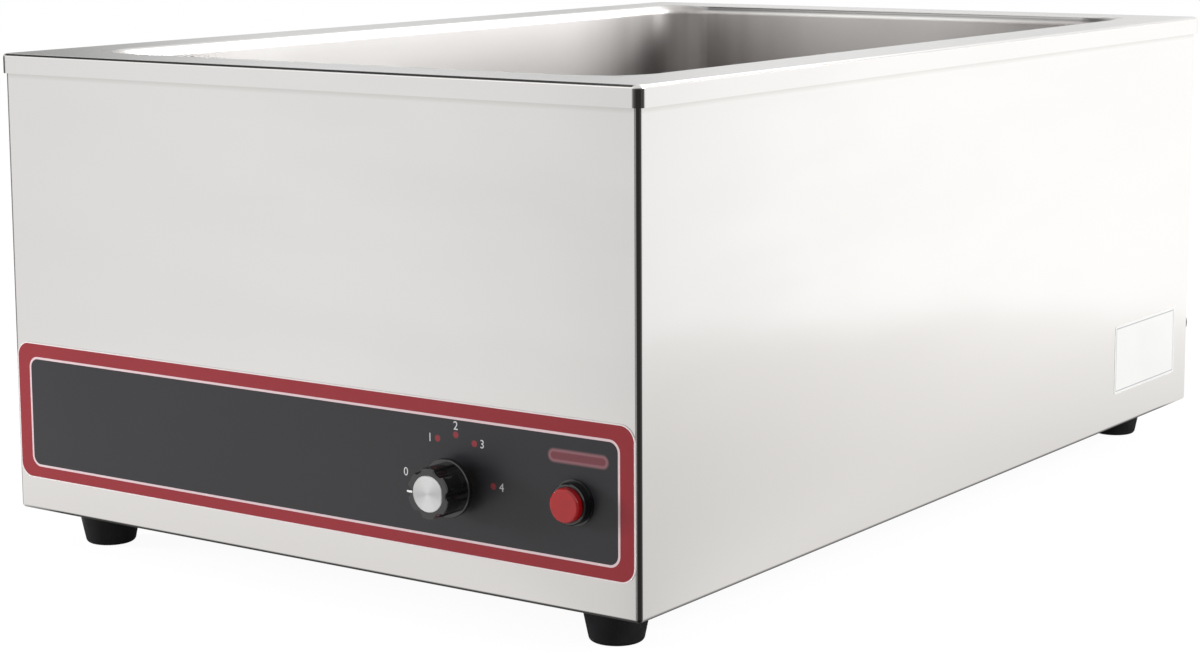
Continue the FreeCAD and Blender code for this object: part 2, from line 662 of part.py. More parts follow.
def make_base_panel():
    """A shallow tray on the casing's bottom flange, with two columns of air slots."""
    body = new_body("base_panel")
    inset = 2 * (dim.sheet_gauge + dim.tray_gap)
    plan = new_sketch(body, "plan", y=CASING_MIDDLE, z=BASE_UNDER)
    rounded_rectangle(plan, dim.body_width - inset, CASING_DEPTH - inset, 3)
    pad(body, plan, dim.tray_rim)
    round_edges(body, dim.casing_bend, at_level(BASE_UNDER))
    hollow(body, dim.sheet_gauge, at_level(BASE_UNDER + dim.tray_rim))
    column = (dim.slot_count - 1) * dim.slot_pitch
    for name, side in (("left_slot", -1), ("right_slot", 1)):
        first = {"x": side * dim.slot_reach, "y": -column / 2, "z": BASE_UNDER - CUTTER}
        sketch = new_sketch(body, name, **first)
        rounded_rectangle(sketch, dim.slot_length, dim.slot_width, 0.499 * dim.slot_width)
        slot = pocket(body, sketch, dim.sheet_gauge + 2 * CUTTER, back=True)
        row = body.newObject("PartDesign::LinearPattern", f"{name}_row")
        row.Originals = [slot]
        row.Direction = (sketch, ["V_Axis"])
        bind(row, "Length", column)
        bind(row, "Occurrences", dim.slot_count)
        body.Tip = row
        doc.recompute()
    punch_up(body, "screws", BASE_SCREWS, dim.screw_radius + THREAD_GAP, BASE_UNDER)
    punch_up(body, "feet", FEET, dim.foot_bolt_radius + HOLE_GAP, BASE_UNDER)
    group("base_screws", [
        place(sheet_screw(f"base_screw_{i}"), x, y, CASING_LOW, UPSIDE_DOWN)
        for i, (x, y) in enumerate(BASE_SCREWS)
    ])


def make_feet():
    """Four tapered rubber feet, recessed from below, with their bolts, washers and nuts."""
    bore = dim.foot_bolt_radius + HOLE_GAP
    names = ("foot_front_left", "foot_front_right", "foot_rear_left", "foot_rear_right")
    for label, (x, y) in zip(names, FEET):
        body = new_body(label)
        turn_profile(body, [
            (bore, dim.foot_recess_depth),
            (dim.foot_recess_radius, dim.foot_recess_depth),
            (dim.foot_recess_radius, 0),
            (dim.foot_bottom_radius, 0),
            (dim.foot_top_radius, BASE_UNDER),
            (bore, BASE_UNDER),
        ])
        round_edges(body, dim.foot_round, at_level(0, outside=dim.foot_bottom_radius))
        place(body, x, y)
    washer_gauge, head_radius, head, nut_height = 1, 4.7, 3.2, 4
    head_top = dim.foot_recess_depth - washer_gauge
    bolt_length = BASE_TOP + nut_height + 2 - head_top
    bolts, washers, nuts = [], [], []
    for i, (x, y) in enumerate(FEET):
        bolt = screw(f"foot_bolt_{i}", head_radius, head, dim.foot_bolt_radius, bolt_length)
        ring = washer(f"foot_washer_{i}", 6, washer_gauge, dim.foot_bolt_radius + 0.1)
        hexagon = nut(f"foot_nut_{i}", 8, nut_height, dim.foot_bolt_radius + THREAD_GAP)
        bolts.append(place(bolt, x, y, head_top, UPSIDE_DOWN))
        washers.append(place(ring, x, y, head_top))
        nuts.append(place(hexagon, x, y, BASE_TOP))
    group("foot_bolts", bolts)
    group("foot_washers", washers)
    group("foot_nuts", nuts)


# Controls


def make_overlay():
    """The printed overlay, with clearance for the bushing and the lamp."""
    body = new_body("control_overlay")
    face = new_sketch(body, "face")
    rounded_rectangle(face, dim.overlay_width, dim.overlay_height, dim.overlay_corner)
    pad(body, face, dim.overlay_gauge)
    gauge, middle = dim.overlay_gauge, dim.overlay_middle
    bushing = (dim.knob_offset, dim.control_height - middle)
    lamp = (dim.lamp_offset, dim.lamp_height - middle)
    punch_up(body, "bushing", [bushing], dim.bushing_hole, 0, gauge)
    punch_up(body, "lamp", [lamp], dim.barrel_radius + 0.1, 0, gauge)
    on_front(body, 0, dim.overlay_middle)


def add_lobes(sketch):
    """Broad lobes with a flute between each two: arcs round the axis, joined by small arcs."""
    lobe, flute, small = float(dim.knob_front_radius), float(dim.flute_radius), float(dim.lobe_round)
    far, count = float(dim.flute_reach), int(dim.flute_count.value)
    near = lobe - small
    spread = math.acos((near ** 2 + far ** 2 - (flute + small) ** 2) / (2 * near * far))
    lean = math.atan2(near * math.sin(spread), far - near * math.cos(spread))

    def add_arc(distance, angle, radius, begin, end):
        centre = Vector(distance * math.cos(angle), distance * math.sin(angle))
        circle = Part.Circle(centre, Vector(0, 0, 1), radius)
        return sketch.addGeometry(Part.ArcOfCircle(circle, begin, end))

    step = 2 * math.pi / count
    rings = []
    for i in range(count):
        axis = i * step
        rings.append([
            add_arc(near, axis - spread, small, axis - spread, axis + lean),
            add_arc(far, axis, flute, axis + math.pi - lean, axis + math.pi + lean),
            add_arc(near, axis + spread, small, axis - lean, axis + spread),
            add_arc(0, axis, lobe, axis + spread, axis + step - spread),
        ])
    for i, (first, hollow_arc, second, broad) in enumerate(rings):
        constrain(sketch, "Tangent", first, 2, hollow_arc, 2)
        constrain(sketch, "Tangent", hollow_arc, 1, second, 1)
        constrain(sketch, "Tangent", second, 2, broad, 1)
        constrain(sketch, "Tangent", broad, 2, rings[(i + 1) % count][0], 1)
        constrain(sketch, "Coincident", broad, 3, -1, 1)
        x, y = dim.flute_reach * math.cos(i * step), dim.flute_reach * math.sin(i * step)
        hold_point(sketch, hollow_arc, 3, x, y, f"flute{i}")
        constrain(sketch, "Radius", hollow_arc, name=f"flute{i}_radius", size=dim.flute_radius)
        constrain(sketch, "Radius", broad, name=f"lobe{i}_radius", size=dim.knob_front_radius)
        for name, arc in (("first", first), ("second", second)):
            constrain(sketch, "Radius", arc, name=f"{name}{i}_radius", size=dim.lobe_round)
    return sketch


def make_knob():
    """A flange with lobes on it, a pointer rib, a seat for the bright disc and a hollow back."""
    body = new_body("control_knob")
    back = dim.overlay_gauge + dim.knob_gap
    flange_front = back + dim.knob_band
    seat = dim.knob_reach + dim.cap_proud - dim.cap_gauge
    seat_radius = dim.cap_radius + 0.1
    flange = add_circle(new_sketch(body, "flange", z=back), dim.knob_rear_radius)
    pad(body, flange, dim.knob_band)
    round_edges(body, dim.knob_shoulder, at_level(flange_front))
    lobes = add_lobes(new_sketch(body, "lobes", z=flange_front))
    pad(body, lobes, dim.knob_reach - flange_front)
    round_edges(body, dim.knob_edge, at_level(dim.knob_reach))
    tip = dim.knob_reach + dim.pointer_proud
    pointer = new_sketch(body, "pointer", x=-(seat_radius + dim.pointer_reach) / 2, z=tip)
    side = dim.pointer_width
    rounded_rectangle(pointer, dim.pointer_reach - seat_radius, side, side / 4)
    pad(body, pointer, tip - flange_front, back=True)
    disc_seat = add_circle(new_sketch(body, "seat", z=tip), seat_radius)
    pocket(body, disc_seat, tip - seat)
    hollow_space = new_sketch(body, "hollow", z=back)
    add_circle(hollow_space, dim.knob_rear_radius - dim.knob_wall, name="wall")
    add_circle(hollow_space, dim.hub_radius, name="hub")
    pocket(body, hollow_space, dim.knob_hollow, back=True)
    add_shaft_bore(body, back)
    on_front(body, dim.knob_offset)

    disc = new_body("knob_cap")
    face, edge = seat + dim.cap_gauge, 0.3
    turn_profile(disc, [
        (0, seat), (dim.cap_radius, seat), (dim.cap_radius, face - edge),
        (dim.cap_radius - edge, face), (0, face),
    ])
    on_front(disc, dim.knob_offset)


def add_shaft_bore(body, start):
    """A blind bore with one flat side, a push fit on the control shaft."""
    sketch = new_sketch(body, "bore", z=start)
    radius = dim.shaft_radius + 0.03
    flat = dim.shaft_flat + 0.03
    rise = math.asin(float(flat) / float(radius))
    circle = Part.Circle(Vector(), Vector(0, 0, 1), float(radius))
    sketch.addGeometry(Part.ArcOfCircle(circle, math.pi - rise, 2 * math.pi + rise))
    ends = [Vector(float(radius) * math.cos(a), float(flat)) for a in (rise, math.pi - rise)]
    sketch.addGeometry(Part.LineSegment(*ends))
    constrain(sketch, "Coincident", 0, 3, -1, 1)
    constrain(sketch, "Coincident", 0, 2, 1, 1)
    constrain(sketch, "Coincident", 0, 1, 1, 2)
    constrain(sketch, "Horizontal", 1)
    constrain(sketch, "Radius", 0, name="bore_radius", size=radius)
    constrain(sketch, "DistanceY", -1, 1, 1, 1, name="bore_flat", size=flat)
    pocket(body, sketch, dim.shaft_tip + 0.4 - start, back=True)


def make_shaft():
    """The control shaft, from inside the thermostat to the bore of the knob."""
    length = dim.shaft_tip + dim.shaft_tail
    rod = cylinder("shaft_rod", dim.shaft_radius, length, z=-dim.shaft_tail)
    flat_start = dim.bushing_reach + 0.6
    width, depth = 2 * (dim.shaft_radius + CUTTER), dim.shaft_radius
    waste = block("shaft_waste", width, depth, length, y=dim.shaft_flat + depth / 2, z=flat_start)
    on_front(keep("control_shaft", cut("control_shaft", rod, waste)), dim.knob_offset)


def make_thermostat():
    """The housing with its threaded bushing bored for the shaft, its nut and its spade tabs."""
    body = new_body("thermostat_body")
    panel_back = -dim.sheet_gauge
    spacer, boss_radius = 2, 9
    case = new_sketch(body, "case", z=panel_back - spacer)
    rounded_rectangle(case, dim.thermostat_width, dim.thermostat_height, 3)
    pad(body, case, dim.thermostat_depth - spacer, back=True)
    round_edges(body, 2, at_level(panel_back - dim.thermostat_depth))
    boss = new_sketch(body, "boss", z=panel_back - spacer)
    pad(body, add_circle(boss, boss_radius), spacer)
    bushing = new_sketch(body, "bushing", z=panel_back)
    pad(body, add_circle(bushing, dim.bushing_radius), dim.bushing_reach + dim.sheet_gauge)
    bore = new_sketch(body, "bore", z=dim.bushing_reach)
    add_circle(bore, dim.shaft_radius + dim.shaft_play)
    pocket(body, bore, dim.bushing_reach + dim.shaft_tail + 1)
    on_front(body, dim.knob_offset)
    across, height = 14, 2.4
    ring = nut("control_nut", across, height, dim.bushing_radius + THREAD_GAP)
    on_front(keep("control_nut", ring), dim.knob_offset, out=dim.overlay_gauge)
    half = dim.tab_length / 2
    group("thermostat_tabs", [
        block(f"tab_{i}", dim.tab_length, dim.tab_gauge, dim.tab_width, x, TAB_Y, TAB_LOW)
        for i, x in enumerate((TAB_LEFT + half, TAB_RIGHT - half))
    ])


def make_lamp():
    """The indicator lamp: bezel, lens, nut, bulb and the disc that holds the bulb."""
    bezel = new_body("lamp_bezel")
    bore = dim.barrel_radius - dim.barrel_wall
    seat_radius = dim.lens_rear_radius + 0.1
    seat = dim.bezel_reach - 1.2
    edge, taper = 0.4, 0.3
    turn_profile(bezel, [
        (bore, -dim.barrel_length),
        (dim.barrel_radius, -dim.barrel_length),
        (dim.barrel_radius, dim.overlay_gauge),
        (dim.bezel_radius, dim.overlay_gauge),
        (dim.bezel_radius, dim.bezel_flange),
        (dim.bezel_front_radius + taper, dim.bezel_flange),
        (dim.bezel_front_radius, dim.bezel_reach - edge),
        (dim.bezel_front_radius - edge, dim.bezel_reach),
        (seat_radius, dim.bezel_reach),
        (seat_radius, seat),
        (bore, seat),
    ])
    on_front(bezel, dim.lamp_offset, dim.lamp_height)

    lens = new_body("lamp_lens")
    turn_profile(lens, [
        (dim.lens_rear_radius - dim.lens_wall, seat),
        (dim.lens_rear_radius, seat),
        (dim.lens_front_radius, dim.lens_reach),
        (0, dim.lens_reach),
        (0, dim.lens_reach - dim.lens_wall),
        (dim.lens_front_radius - dim.lens_wall, dim.lens_reach - dim.lens_wall),
    ])
    round_edges(lens, 0.9, at_level(dim.lens_reach, outside=dim.lens_front_radius))
    on_front(lens, dim.lamp_offset, dim.lamp_height)

    nut_height = 3.5
    ring = keep("lamp_nut", nut("lamp_nut", 18, nut_height, dim.barrel_radius + THREAD_GAP))
    on_front(ring, dim.lamp_offset, dim.lamp_height, out=-dim.sheet_gauge - nut_height)
    holder_gauge, holder_inset = 3, 1
    holder = keep("bulb_holder", cylinder("bulb_holder", bore, holder_gauge))
    on_front(holder, dim.lamp_offset, dim.lamp_height, out=holder_inset - dim.barrel_length)
    bulb = new_body("neon_bulb")
    base, tip = holder_inset + holder_gauge - dim.barrel_length, 4
    turn_profile(bulb, [(0, base), (dim.bulb_glass, base), (dim.bulb_glass, tip), (0, tip)])
    round_edges(bulb, dim.bulb_glass - 0.2, at_level(tip, outside=dim.bulb_glass))
    on_front(bulb, dim.lamp_offset, dim.lamp_height)


def make_shield():
    """A bent sheet on the base panel, between the controls and the hot wall of the well."""
    body = new_body("heat_shield")
    start, gauge = FRONT + dim.shield_inset, dim.shield_gauge
    side = new_sketch(body, "side", "YZ_Plane", z=dim.knob_offset - 2 - dim.shield_width / 2)
    add_outline(side, [
        (start, BASE_TOP),
        (start + dim.shield_foot, BASE_TOP),
        (start + dim.shield_foot, BASE_TOP + gauge),
        (start + gauge, BASE_TOP + gauge),
        (start + gauge, dim.shield_top),
        (start, dim.shield_top),
    ])
    pad(body, side, dim.shield_width)
    screws = [(dim.knob_offset + shift, start + dim.shield_foot / 2 + 1) for shift in (-26, 22)]
    radius = 1.5
    punch_up(body, "screws", screws, radius + THREAD_GAP, BASE_TOP, gauge)
    punch_up(nodes["base_panel"], "shield", screws, radius + THREAD_GAP, BASE_UNDER)
    group("shield_screws", [
        place(screw(f"shield_screw_{i}", 2.8, 1.8, radius, 5), x, y, BASE_TOP + gauge)
        for i, (x, y) in enumerate(screws)
    ])


# Heat


def make_element():
    """One sheathed tube bent into four straight runs, swept along its route."""
    body = new_body("heating_element")
    route = new_sketch(body, "route", z=ELEMENT_LEVEL)
    pitch, turn, end = float(dim.element_pitch), float(dim.element_turn), float(dim.element_end)
    for x, low in zip((-1.5, -0.5, 0.5, 1.5), (-end, -turn, -turn, -end)):
        route.addGeometry(Part.LineSegment(Vector(x * pitch, low), Vector(x * pitch, turn)))
    for x, y, begin in ((-pitch, turn, 0), (0, -turn, math.pi), (pitch, turn, 0)):
        circle = Part.Circle(Vector(x, y), Vector(0, 0, 1), pitch / 2)
        route.addGeometry(Part.ArcOfCircle(circle, begin, begin + math.pi))
    joints = [(0, 2, 4, 2), (4, 1, 1, 2), (1, 1, 5, 1), (5, 2, 2, 1), (2, 2, 6, 2), (6, 1, 3, 2)]
    for joint in joints:
        constrain(route, "Tangent", *joint)
    for line in range(4):
        constrain(route, "Vertical", line)
    constrain(route, "PointOnObject", 5, 3, -2)
    constrain(route, "Equal", 4, 5)
    constrain(route, "Equal", 5, 6)
    constrain(route, "Radius", 5, name="bend", size=dim.element_pitch / 2)
    constrain(route, "DistanceY", -1, 1, 4, 3, name="turn_rear", size=dim.element_turn)
    constrain(route, "DistanceY", 5, 3, -1, 1, name="turn_front", size=dim.element_turn)
    constrain(route, "DistanceY", 0, 1, -1, 1, name="left_end", size=dim.element_end)
    constrain(route, "DistanceY", 3, 1, -1, 1, name="right_end", size=dim.element_end)
    section = new_sketch(
        body, "section", "XZ_Plane", x=-PIN_X, y=ELEMENT_LEVEL, z=dim.element_end
    )
    pipe = body.newObject("PartDesign::AdditivePipe", "element_tube")
    pipe.Profile = add_circle(section, dim.element_radius)
    pipe.Spine = route
    doc.recompute()
    report_tube("heating_element", pipe.Shape, route.Shape, dim.element_radius)

    level, bush_end = ELEMENT_LEVEL, -dim.element_end - dim.bush_length
    bush = (dim.element_radius, dim.bush_length)
    pin = (dim.pin_radius, dim.pin_length)
    bushes, pins = [], []
    for i, x in enumerate((-PIN_X, PIN_X)):
        bushes.append(cylinder(f"bush_{i}", *bush, x, -dim.element_end, level, OUT_OF_FRONT))
        pins.append(cylinder(f"pin_{i}", *pin, x, bush_end, level, OUT_OF_FRONT))
    group("element_bushes", bushes)
    group("element_pins", pins)


def make_clamps():
    """Bars that press the element to the floor, on studs that also carry what is below them."""
    for name, row in (("front", -1), ("middle", 0), ("rear", 1)):
        body = new_body(f"element_clamp_{name}")
        y = row * dim.clamp_pitch
        plan = new_sketch(body, "plan", y=y, z=CLAMP_UNDER)
        rounded_rectangle(plan, dim.clamp_length, dim.clamp_width, 4)
        pad(body, plan, dim.clamp_gauge)
        spots, radius = [(-dim.element_pitch, y), (dim.element_pitch, y)], dim.stud_radius + HOLE_GAP
        punch_up(body, "studs", spots, radius, CLAMP_UNDER, dim.clamp_gauge)
    stud_low = FLOOR_UNDER - dim.stud_length
    nut_height, disc_gauge, bore = 4, 0.6, dim.stud_radius + THREAD_GAP
    nut_low, disc_low = REFLECTOR_UNDER - nut_height, SLAB_UNDER - disc_gauge
    studs, nuts, discs = [], [], []
    for i, (x, y) in enumerate(STUDS):
        studs.append(cylinder(f"stud_{i}", dim.stud_radius, dim.stud_length, x, y, stud_low))
        nuts.append(place(nut(f"clamp_nut_{i}", 8, nut_height, bore), x, y, nut_low))
        discs.append(place(washer(f"slab_washer_{i}", 12, disc_gauge, bore), x, y, disc_low))
    small_radius, small_length = 1.5, 5.5
    for i, (x, y) in enumerate(LIMITER_STUDS):
        low = FLOOR_UNDER - small_length
        studs.append(cylinder(f"limiter_stud_{i}", small_radius, small_length, x, y, low))
    group("weld_studs", studs)
    group("clamp_nuts", nuts)
    group("slab_washers", discs)


def make_reflector():
    """A bright tray under the element, notched at the front for the ends of the element."""
    body = new_body("reflector_tray")
    plan = new_sketch(body, "plan", z=REFLECTOR_UNDER)
    rounded_rectangle(plan, dim.reflector_width, dim.reflector_length, 10)
    pad(body, plan, dim.reflector_rim)
    round_edges(body, 2, at_level(REFLECTOR_UNDER))
    hollow(body, dim.reflector_gauge, at_level(REFLECTOR_UNDER + dim.reflector_rim))
    gauge = dim.reflector_gauge
    punch_up(body, "studs", STUDS, dim.stud_radius + HOLE_GAP, REFLECTOR_UNDER, gauge)
    start = dim.reflector_length / 2 + CUTTER
    for name, x in (("left_notch", -PIN_X), ("right_notch", PIN_X)):
        notch = new_sketch(body, name, "XZ_Plane", x=x, y=ELEMENT_LEVEL, z=start)
        rounded_rectangle(notch, 2 * dim.element_radius + 3, 10, 1)
        pocket(body, notch, gauge + 2 * CUTTER)


def make_insulation():
    """A slab under the reflector and a blanket round the walls of the well."""
    slab = new_body("base_insulation")
    inset = 2 * dim.slab_inset
    plan = new_sketch(slab, "plan", z=SLAB_UNDER)
    rounded_rectangle(plan, dim.reflector_width - inset, dim.reflector_length - inset, 10)
    pad(slab, plan, dim.slab_thickness)
    punch_up(slab, "studs", STUDS, 6, SLAB_UNDER, dim.slab_thickness)

    blanket = new_body("side_insulation")
    inside = dim.sheet_gauge + dim.blanket_gap
    outside = inside + dim.blanket_thickness
    ring = new_sketch(blanket, "ring", z=dim.blanket_low)
    for name, out in (("outside", outside), ("inside", inside)):
        width, length = dim.well_width + 2 * out, dim.well_length + 2 * out
        rounded_rectangle(ring, width, length, dim.well_corner + out, name)
    pad(blanket, ring, dim.blanket_high - dim.blanket_low)
    notch_x, notch_z = dim.knob_offset + 22, dim.shield_top - 12
    notch = new_sketch(blanket, "notch", "XZ_Plane", x=notch_x, y=notch_z, z=REAR)
    rounded_rectangle(notch, 150, 30, 2)
    pocket(blanket, notch, dim.body_depth / 2 - dim.well_length / 2)


def make_limiter():
    """A bimetal disc cut-out, held by its ears under the floor of the well."""
    ear_gauge, cup_height, base_height = 0.8, 8, 5
    ears = block("limiter_ears", 34, 11, ear_gauge, y=LIMITER_Y, z=FLOOR_UNDER - ear_gauge)
    cup = cylinder("limiter_cup", 7.5, cup_height, y=LIMITER_Y, z=FLOOR_UNDER - cup_height)
    low = FLOOR_UNDER - dim.limiter_height
    base = cylinder("limiter_base", 8.2, base_height, y=LIMITER_Y, z=low)
    tab = (dim.tab_gauge, dim.tab_width, dim.tab_length)
    tabs = [
        block(f"limiter_tab_{side}", *tab, x, LIMITER_Y, LIMITER_TAB_END)
        for side, x in (("left", -LIMITER_TAB_X), ("right", LIMITER_TAB_X))
    ]
    holes = fuse("limiter_holes", [
        cylinder(f"limiter_hole_{i}", 1.6, 2 * CUTTER, x, y, FLOOR_UNDER - CUTTER)
        for i, (x, y) in enumerate(LIMITER_STUDS)
    ])
    whole = fuse("limiter_whole", [ears, cup, base] + tabs)
    keep("limit_cutout", cut("limit_cutout", whole, holes))
    nut_height = 2.4
    nut_low = FLOOR_UNDER - ear_gauge - nut_height
    group("limit_nuts", [
        place(nut(f"limit_nut_{i}", 5.5, nut_height, 1.55), x, y, nut_low)
        for i, (x, y) in enumerate(LIMITER_STUDS)
    ])


def make_bulb():
    """The thermostat's sensing bulb, held under the floor of the well by two clips."""
    body = new_body("sensing_bulb")
    neck, taper = dim.bulb_radius - 1, 2
    turn_profile(body, [
        (0, 0), (neck, 0), (dim.bulb_radius, taper),
        (dim.bulb_radius, dim.bulb_length - taper), (neck, dim.bulb_length), (0, dim.bulb_length),
    ])
    place(body, dim.bulb_offset, -dim.bulb_front, BULB_LEVEL, OUT_OF_REAR)
    gauge, clip_length = 0.8, 8
    low = BULB_LEVEL - dim.bulb_radius - gauge
    width, height = 2 * dim.bulb_radius + 0.2, FLOOR_UNDER - low
    outer = (width + 2 * gauge, clip_length, height)
    inner = (width, clip_length, height - gauge)
    clips = []
    for i, share in enumerate((0.2, 0.8)):
        y = share * dim.bulb_length - dim.bulb_front
        strap = block(f"clip_strap_{i}", *outer, dim.bulb_offset, y, low)
        space = block(f"clip_space_{i}", *inner, dim.bulb_offset, y, low + gauge)
        clips.append(cut(f"bulb_clip_{i}", strap, space))
    group("bulb_clips", clips)


# Wiring


def make_terminal_block():
    """The block that the cord's three wires and the three leads are screwed into."""
    body = new_body("terminal_block")
    plan = new_sketch(body, "plan", x=dim.block_offset, y=dim.block_back, z=BASE_TOP)
    rounded_rectangle(plan, dim.block_length, dim.block_width, 2)
    pad(body, plan, dim.block_height)
    lanes = [(dim.block_offset + step * dim.lane_pitch, LANE_LEVEL) for step in (-1, 0, 1)]
    front = dim.block_back - dim.block_width / 2
    punch_back(body, "lanes", lanes, dim.lane_radius, front, dim.block_width)
    wells = [(x, dim.block_back + shift) for x, _ in lanes for shift in (-5, 5)]
    well_radius, well_depth = 2.4, BASE_TOP + dim.block_height - LANE_LEVEL
    punch(body, "wells", wells, well_radius, LANE_LEVEL, well_depth + CUTTER)
    head_radius, head, radius, shank = 2.2, 2, 1.4, 2.8
    head_seat = LANE_LEVEL + dim.wire_radius + shank
    group("terminal_screws", [
        place(screw(f"terminal_screw_{i}", head_radius, head, radius, shank), x, y, head_seat)
        for i, (x, y) in enumerate(wells)
    ])
    fixing = [(dim.block_offset + side * dim.lane_pitch / 2, dim.block_back) for side in (-1, 1)]
    radius, length = 1.7, 21
    punch_up(body, "fixing", fixing, radius + THREAD_GAP, BASE_TOP, dim.block_height)
    punch_up(nodes["base_panel"], "block", fixing, radius + THREAD_GAP, BASE_UNDER)
    group("block_screws", [
        place(screw(f"block_screw_{i}", 3, 2, radius, length), x, y, BASE_TOP + dim.block_height)
        for i, (x, y) in enumerate(fixing)
    ])


def make_earth():
    """The earth stud on the base panel, with the nut that holds it and the one for the tag."""
    radius = 2.5
    spot = (dim.earth_offset, dim.earth_back)
    keep("earth_stud", cylinder("earth_stud", radius, dim.earth_stud_height, *spot, BASE_TOP))
    group("earth_nuts", [
        place(nut(f"earth_nut_{i}", 8, dim.earth_nut, radius + THREAD_GAP), *spot, level)
        for i, level in enumerate((BASE_TOP, TAG_LEVEL + dim.earth_tag))
    ])


def make_gland():
    """Cord gland through the rear panel: body, rubber seal, cap nut and lock nut."""
    body = new_body("gland_body")
    shoulder = dim.gland_shoulder
    bore, collar_radius, collar_end = 5, 7.2, 12
    turn_profile(body, [
        (bore, -dim.gland_tail),
        (dim.gland_thread, -dim.gland_tail),
        (dim.gland_thread, 0),
        (dim.gland_nut_radius - 0.2, 0),
        (dim.gland_nut_radius - 0.2, shoulder),
        (collar_radius, shoulder),
        (collar_radius, collar_end),
        (dim.seal_radius + 0.1, collar_end),
        (dim.seal_radius + 0.1, shoulder),
        (bore, shoulder),
    ])
    seal = new_body("gland_seal")
    turn_profile(seal, [
        (dim.cord_radius, shoulder + 0.2),
        (dim.seal_radius, shoulder + 0.2),
        (dim.seal_radius, dim.seal_end - 3),
        (dim.seal_radius - 0.8, dim.seal_end),
        (dim.cord_radius, dim.seal_end),
    ])
    cap = new_body("gland_cap")
    mouth, lip = 4.8, 1.4
    turn_profile(cap, [
        (collar_radius + 0.1, shoulder + 0.2),
        (dim.gland_nut_radius, shoulder + 0.2),
        (dim.gland_nut_radius, dim.gland_reach - 4),
        (dim.gland_nut_radius - lip, dim.gland_reach - lip),
        (dim.gland_nut_radius - 2 * lip, dim.gland_reach),
        (mouth, dim.gland_reach),
        (mouth, dim.seal_end + lip),
        (collar_radius + 0.1, collar_end + lip),
    ])
    groove = new_sketch(cap, "groove", z=shoulder + lip)
    add_circle(groove, 1.5, dim.gland_nut_radius + 1)
    repeat_round(cap, pocket(cap, groove, 9, back=True), groove, 12)
    x, z = GLAND
    for piece in (body, seal, cap):
        place(piece, x, REAR, z, OUT_OF_REAR)
    height = 4.5
    lock = keep("gland_locknut", nut("gland_locknut", 19, height, dim.gland_thread + THREAD_GAP))
    place(lock, x, REAR - 2 * dim.sheet_gauge - height, z, OUT_OF_REAR)


def report_tube(label, tube, path, radius):
    """Prints how a tube's volume compares with its section times its length."""
    length = sum(edge.Length for edge in path.Edges)
    share = tube.Volume / (math.pi * float(radius) ** 2 * length)
    print(f"{label}: {length:.0f} mm long, {share:.4f} of its section times its length")


def route_tube(label, points, radius):
    """A wire along straight runs joined by tangent arcs, as large as the runs allow."""
    spots = [Vector(*(float(size) for size in point)) for point in points]
    edges, start, bends = [], spots[0], []
    for before, corner, after in zip(spots, spots[1:], spots[2:]):
        into, out = corner - before, after - corner
        turn = into.getAngle(out)
        reach = 0.45 * min(into.Length, out.Length)
        begin = corner - into.normalize() * reach
        end = corner + out.normalize() * reach
        bend = reach / math.tan(turn / 2)
        sag = bend / math.cos(turn / 2) - bend
        middle = corner + (out - into).normalize() * sag
        edges += [Part.LineSegment(start, begin).toShape(), Part.Arc(begin, middle, end).toShape()]
        bends.append(f"{bend:.0f}")
        start = end
    edges.append(Part.LineSegment(start, spots[-1]).toShape())
    path = Part.Wire(edges)
    section = Part.Circle(spots[0], (spots[1] - spots[0]).normalize(), float(radius))
    tube = path.makePipeShell([Part.Wire(section.toShape())], True, False)
    report_tube(label, tube, path, radius)
    print(f"  bend radii {', '.join(bends)} mm")
    feature = doc.addObject("Part::Feature", label)
    feature.Shape = tube
    return feature


def make_mains_leads():
    """Live, neutral and earth leads from the terminal block."""
    wire, start = dim.wire_radius, dim.block_back - 5
    run = BASE_TOP + wire + 1.5
    live = dim.block_offset + dim.lane_pitch
    keep("live_lead", route_tube("live_lead", [
        (live, start, LANE_LEVEL), (live, 208, LANE_LEVEL), (134, 180, 26), (147, 140, run),
        (156, 80, run), (160, 0, run), (157, -80, run), (160, -150, run), (165, -205, 25),
        (166, -238, 31), (159, -260, 41), (144, TAB_Y, TAB_LEVEL), (TAB_RIGHT, TAB_Y, TAB_LEVEL),
    ], wire))
    neutral = dim.block_offset
    keep("neutral_lead", route_tube("neutral_lead", [
        (neutral, start, LANE_LEVEL), (neutral, 208, LANE_LEVEL), (110, 176, 25), (108, 120, run),
        (112, 50, run), (109, -30, run), (113, -110, run), (112, -170, run), (110, -205, 27),
        (110, -232, 37), (108, -248, 49), (102, -253, 61), (PIN_X, -250, ELEMENT_LEVEL),
        (PIN_X, PIN_END, ELEMENT_LEVEL),
    ], wire))
    earth = dim.block_offset - dim.lane_pitch
    tail_level = TAG_LEVEL + dim.earth_tag / 2
    tail = route_tube("earth_tail", [
        (earth, start, LANE_LEVEL), (earth, 214, LANE_LEVEL), (88, 198, 26), (70, 196, 25),
        (55, 209, tail_level), (dim.earth_offset, 225, tail_level),
        (dim.earth_offset, dim.earth_back - 5, tail_level),
    ], wire)
    tag = washer("earth_tag", 5.8, dim.earth_tag, 2.5 + THREAD_GAP)
    place(tag, dim.earth_offset, dim.earth_back, TAG_LEVEL)
    keep("earth_lead", fuse("earth_lead", [tail, tag]))


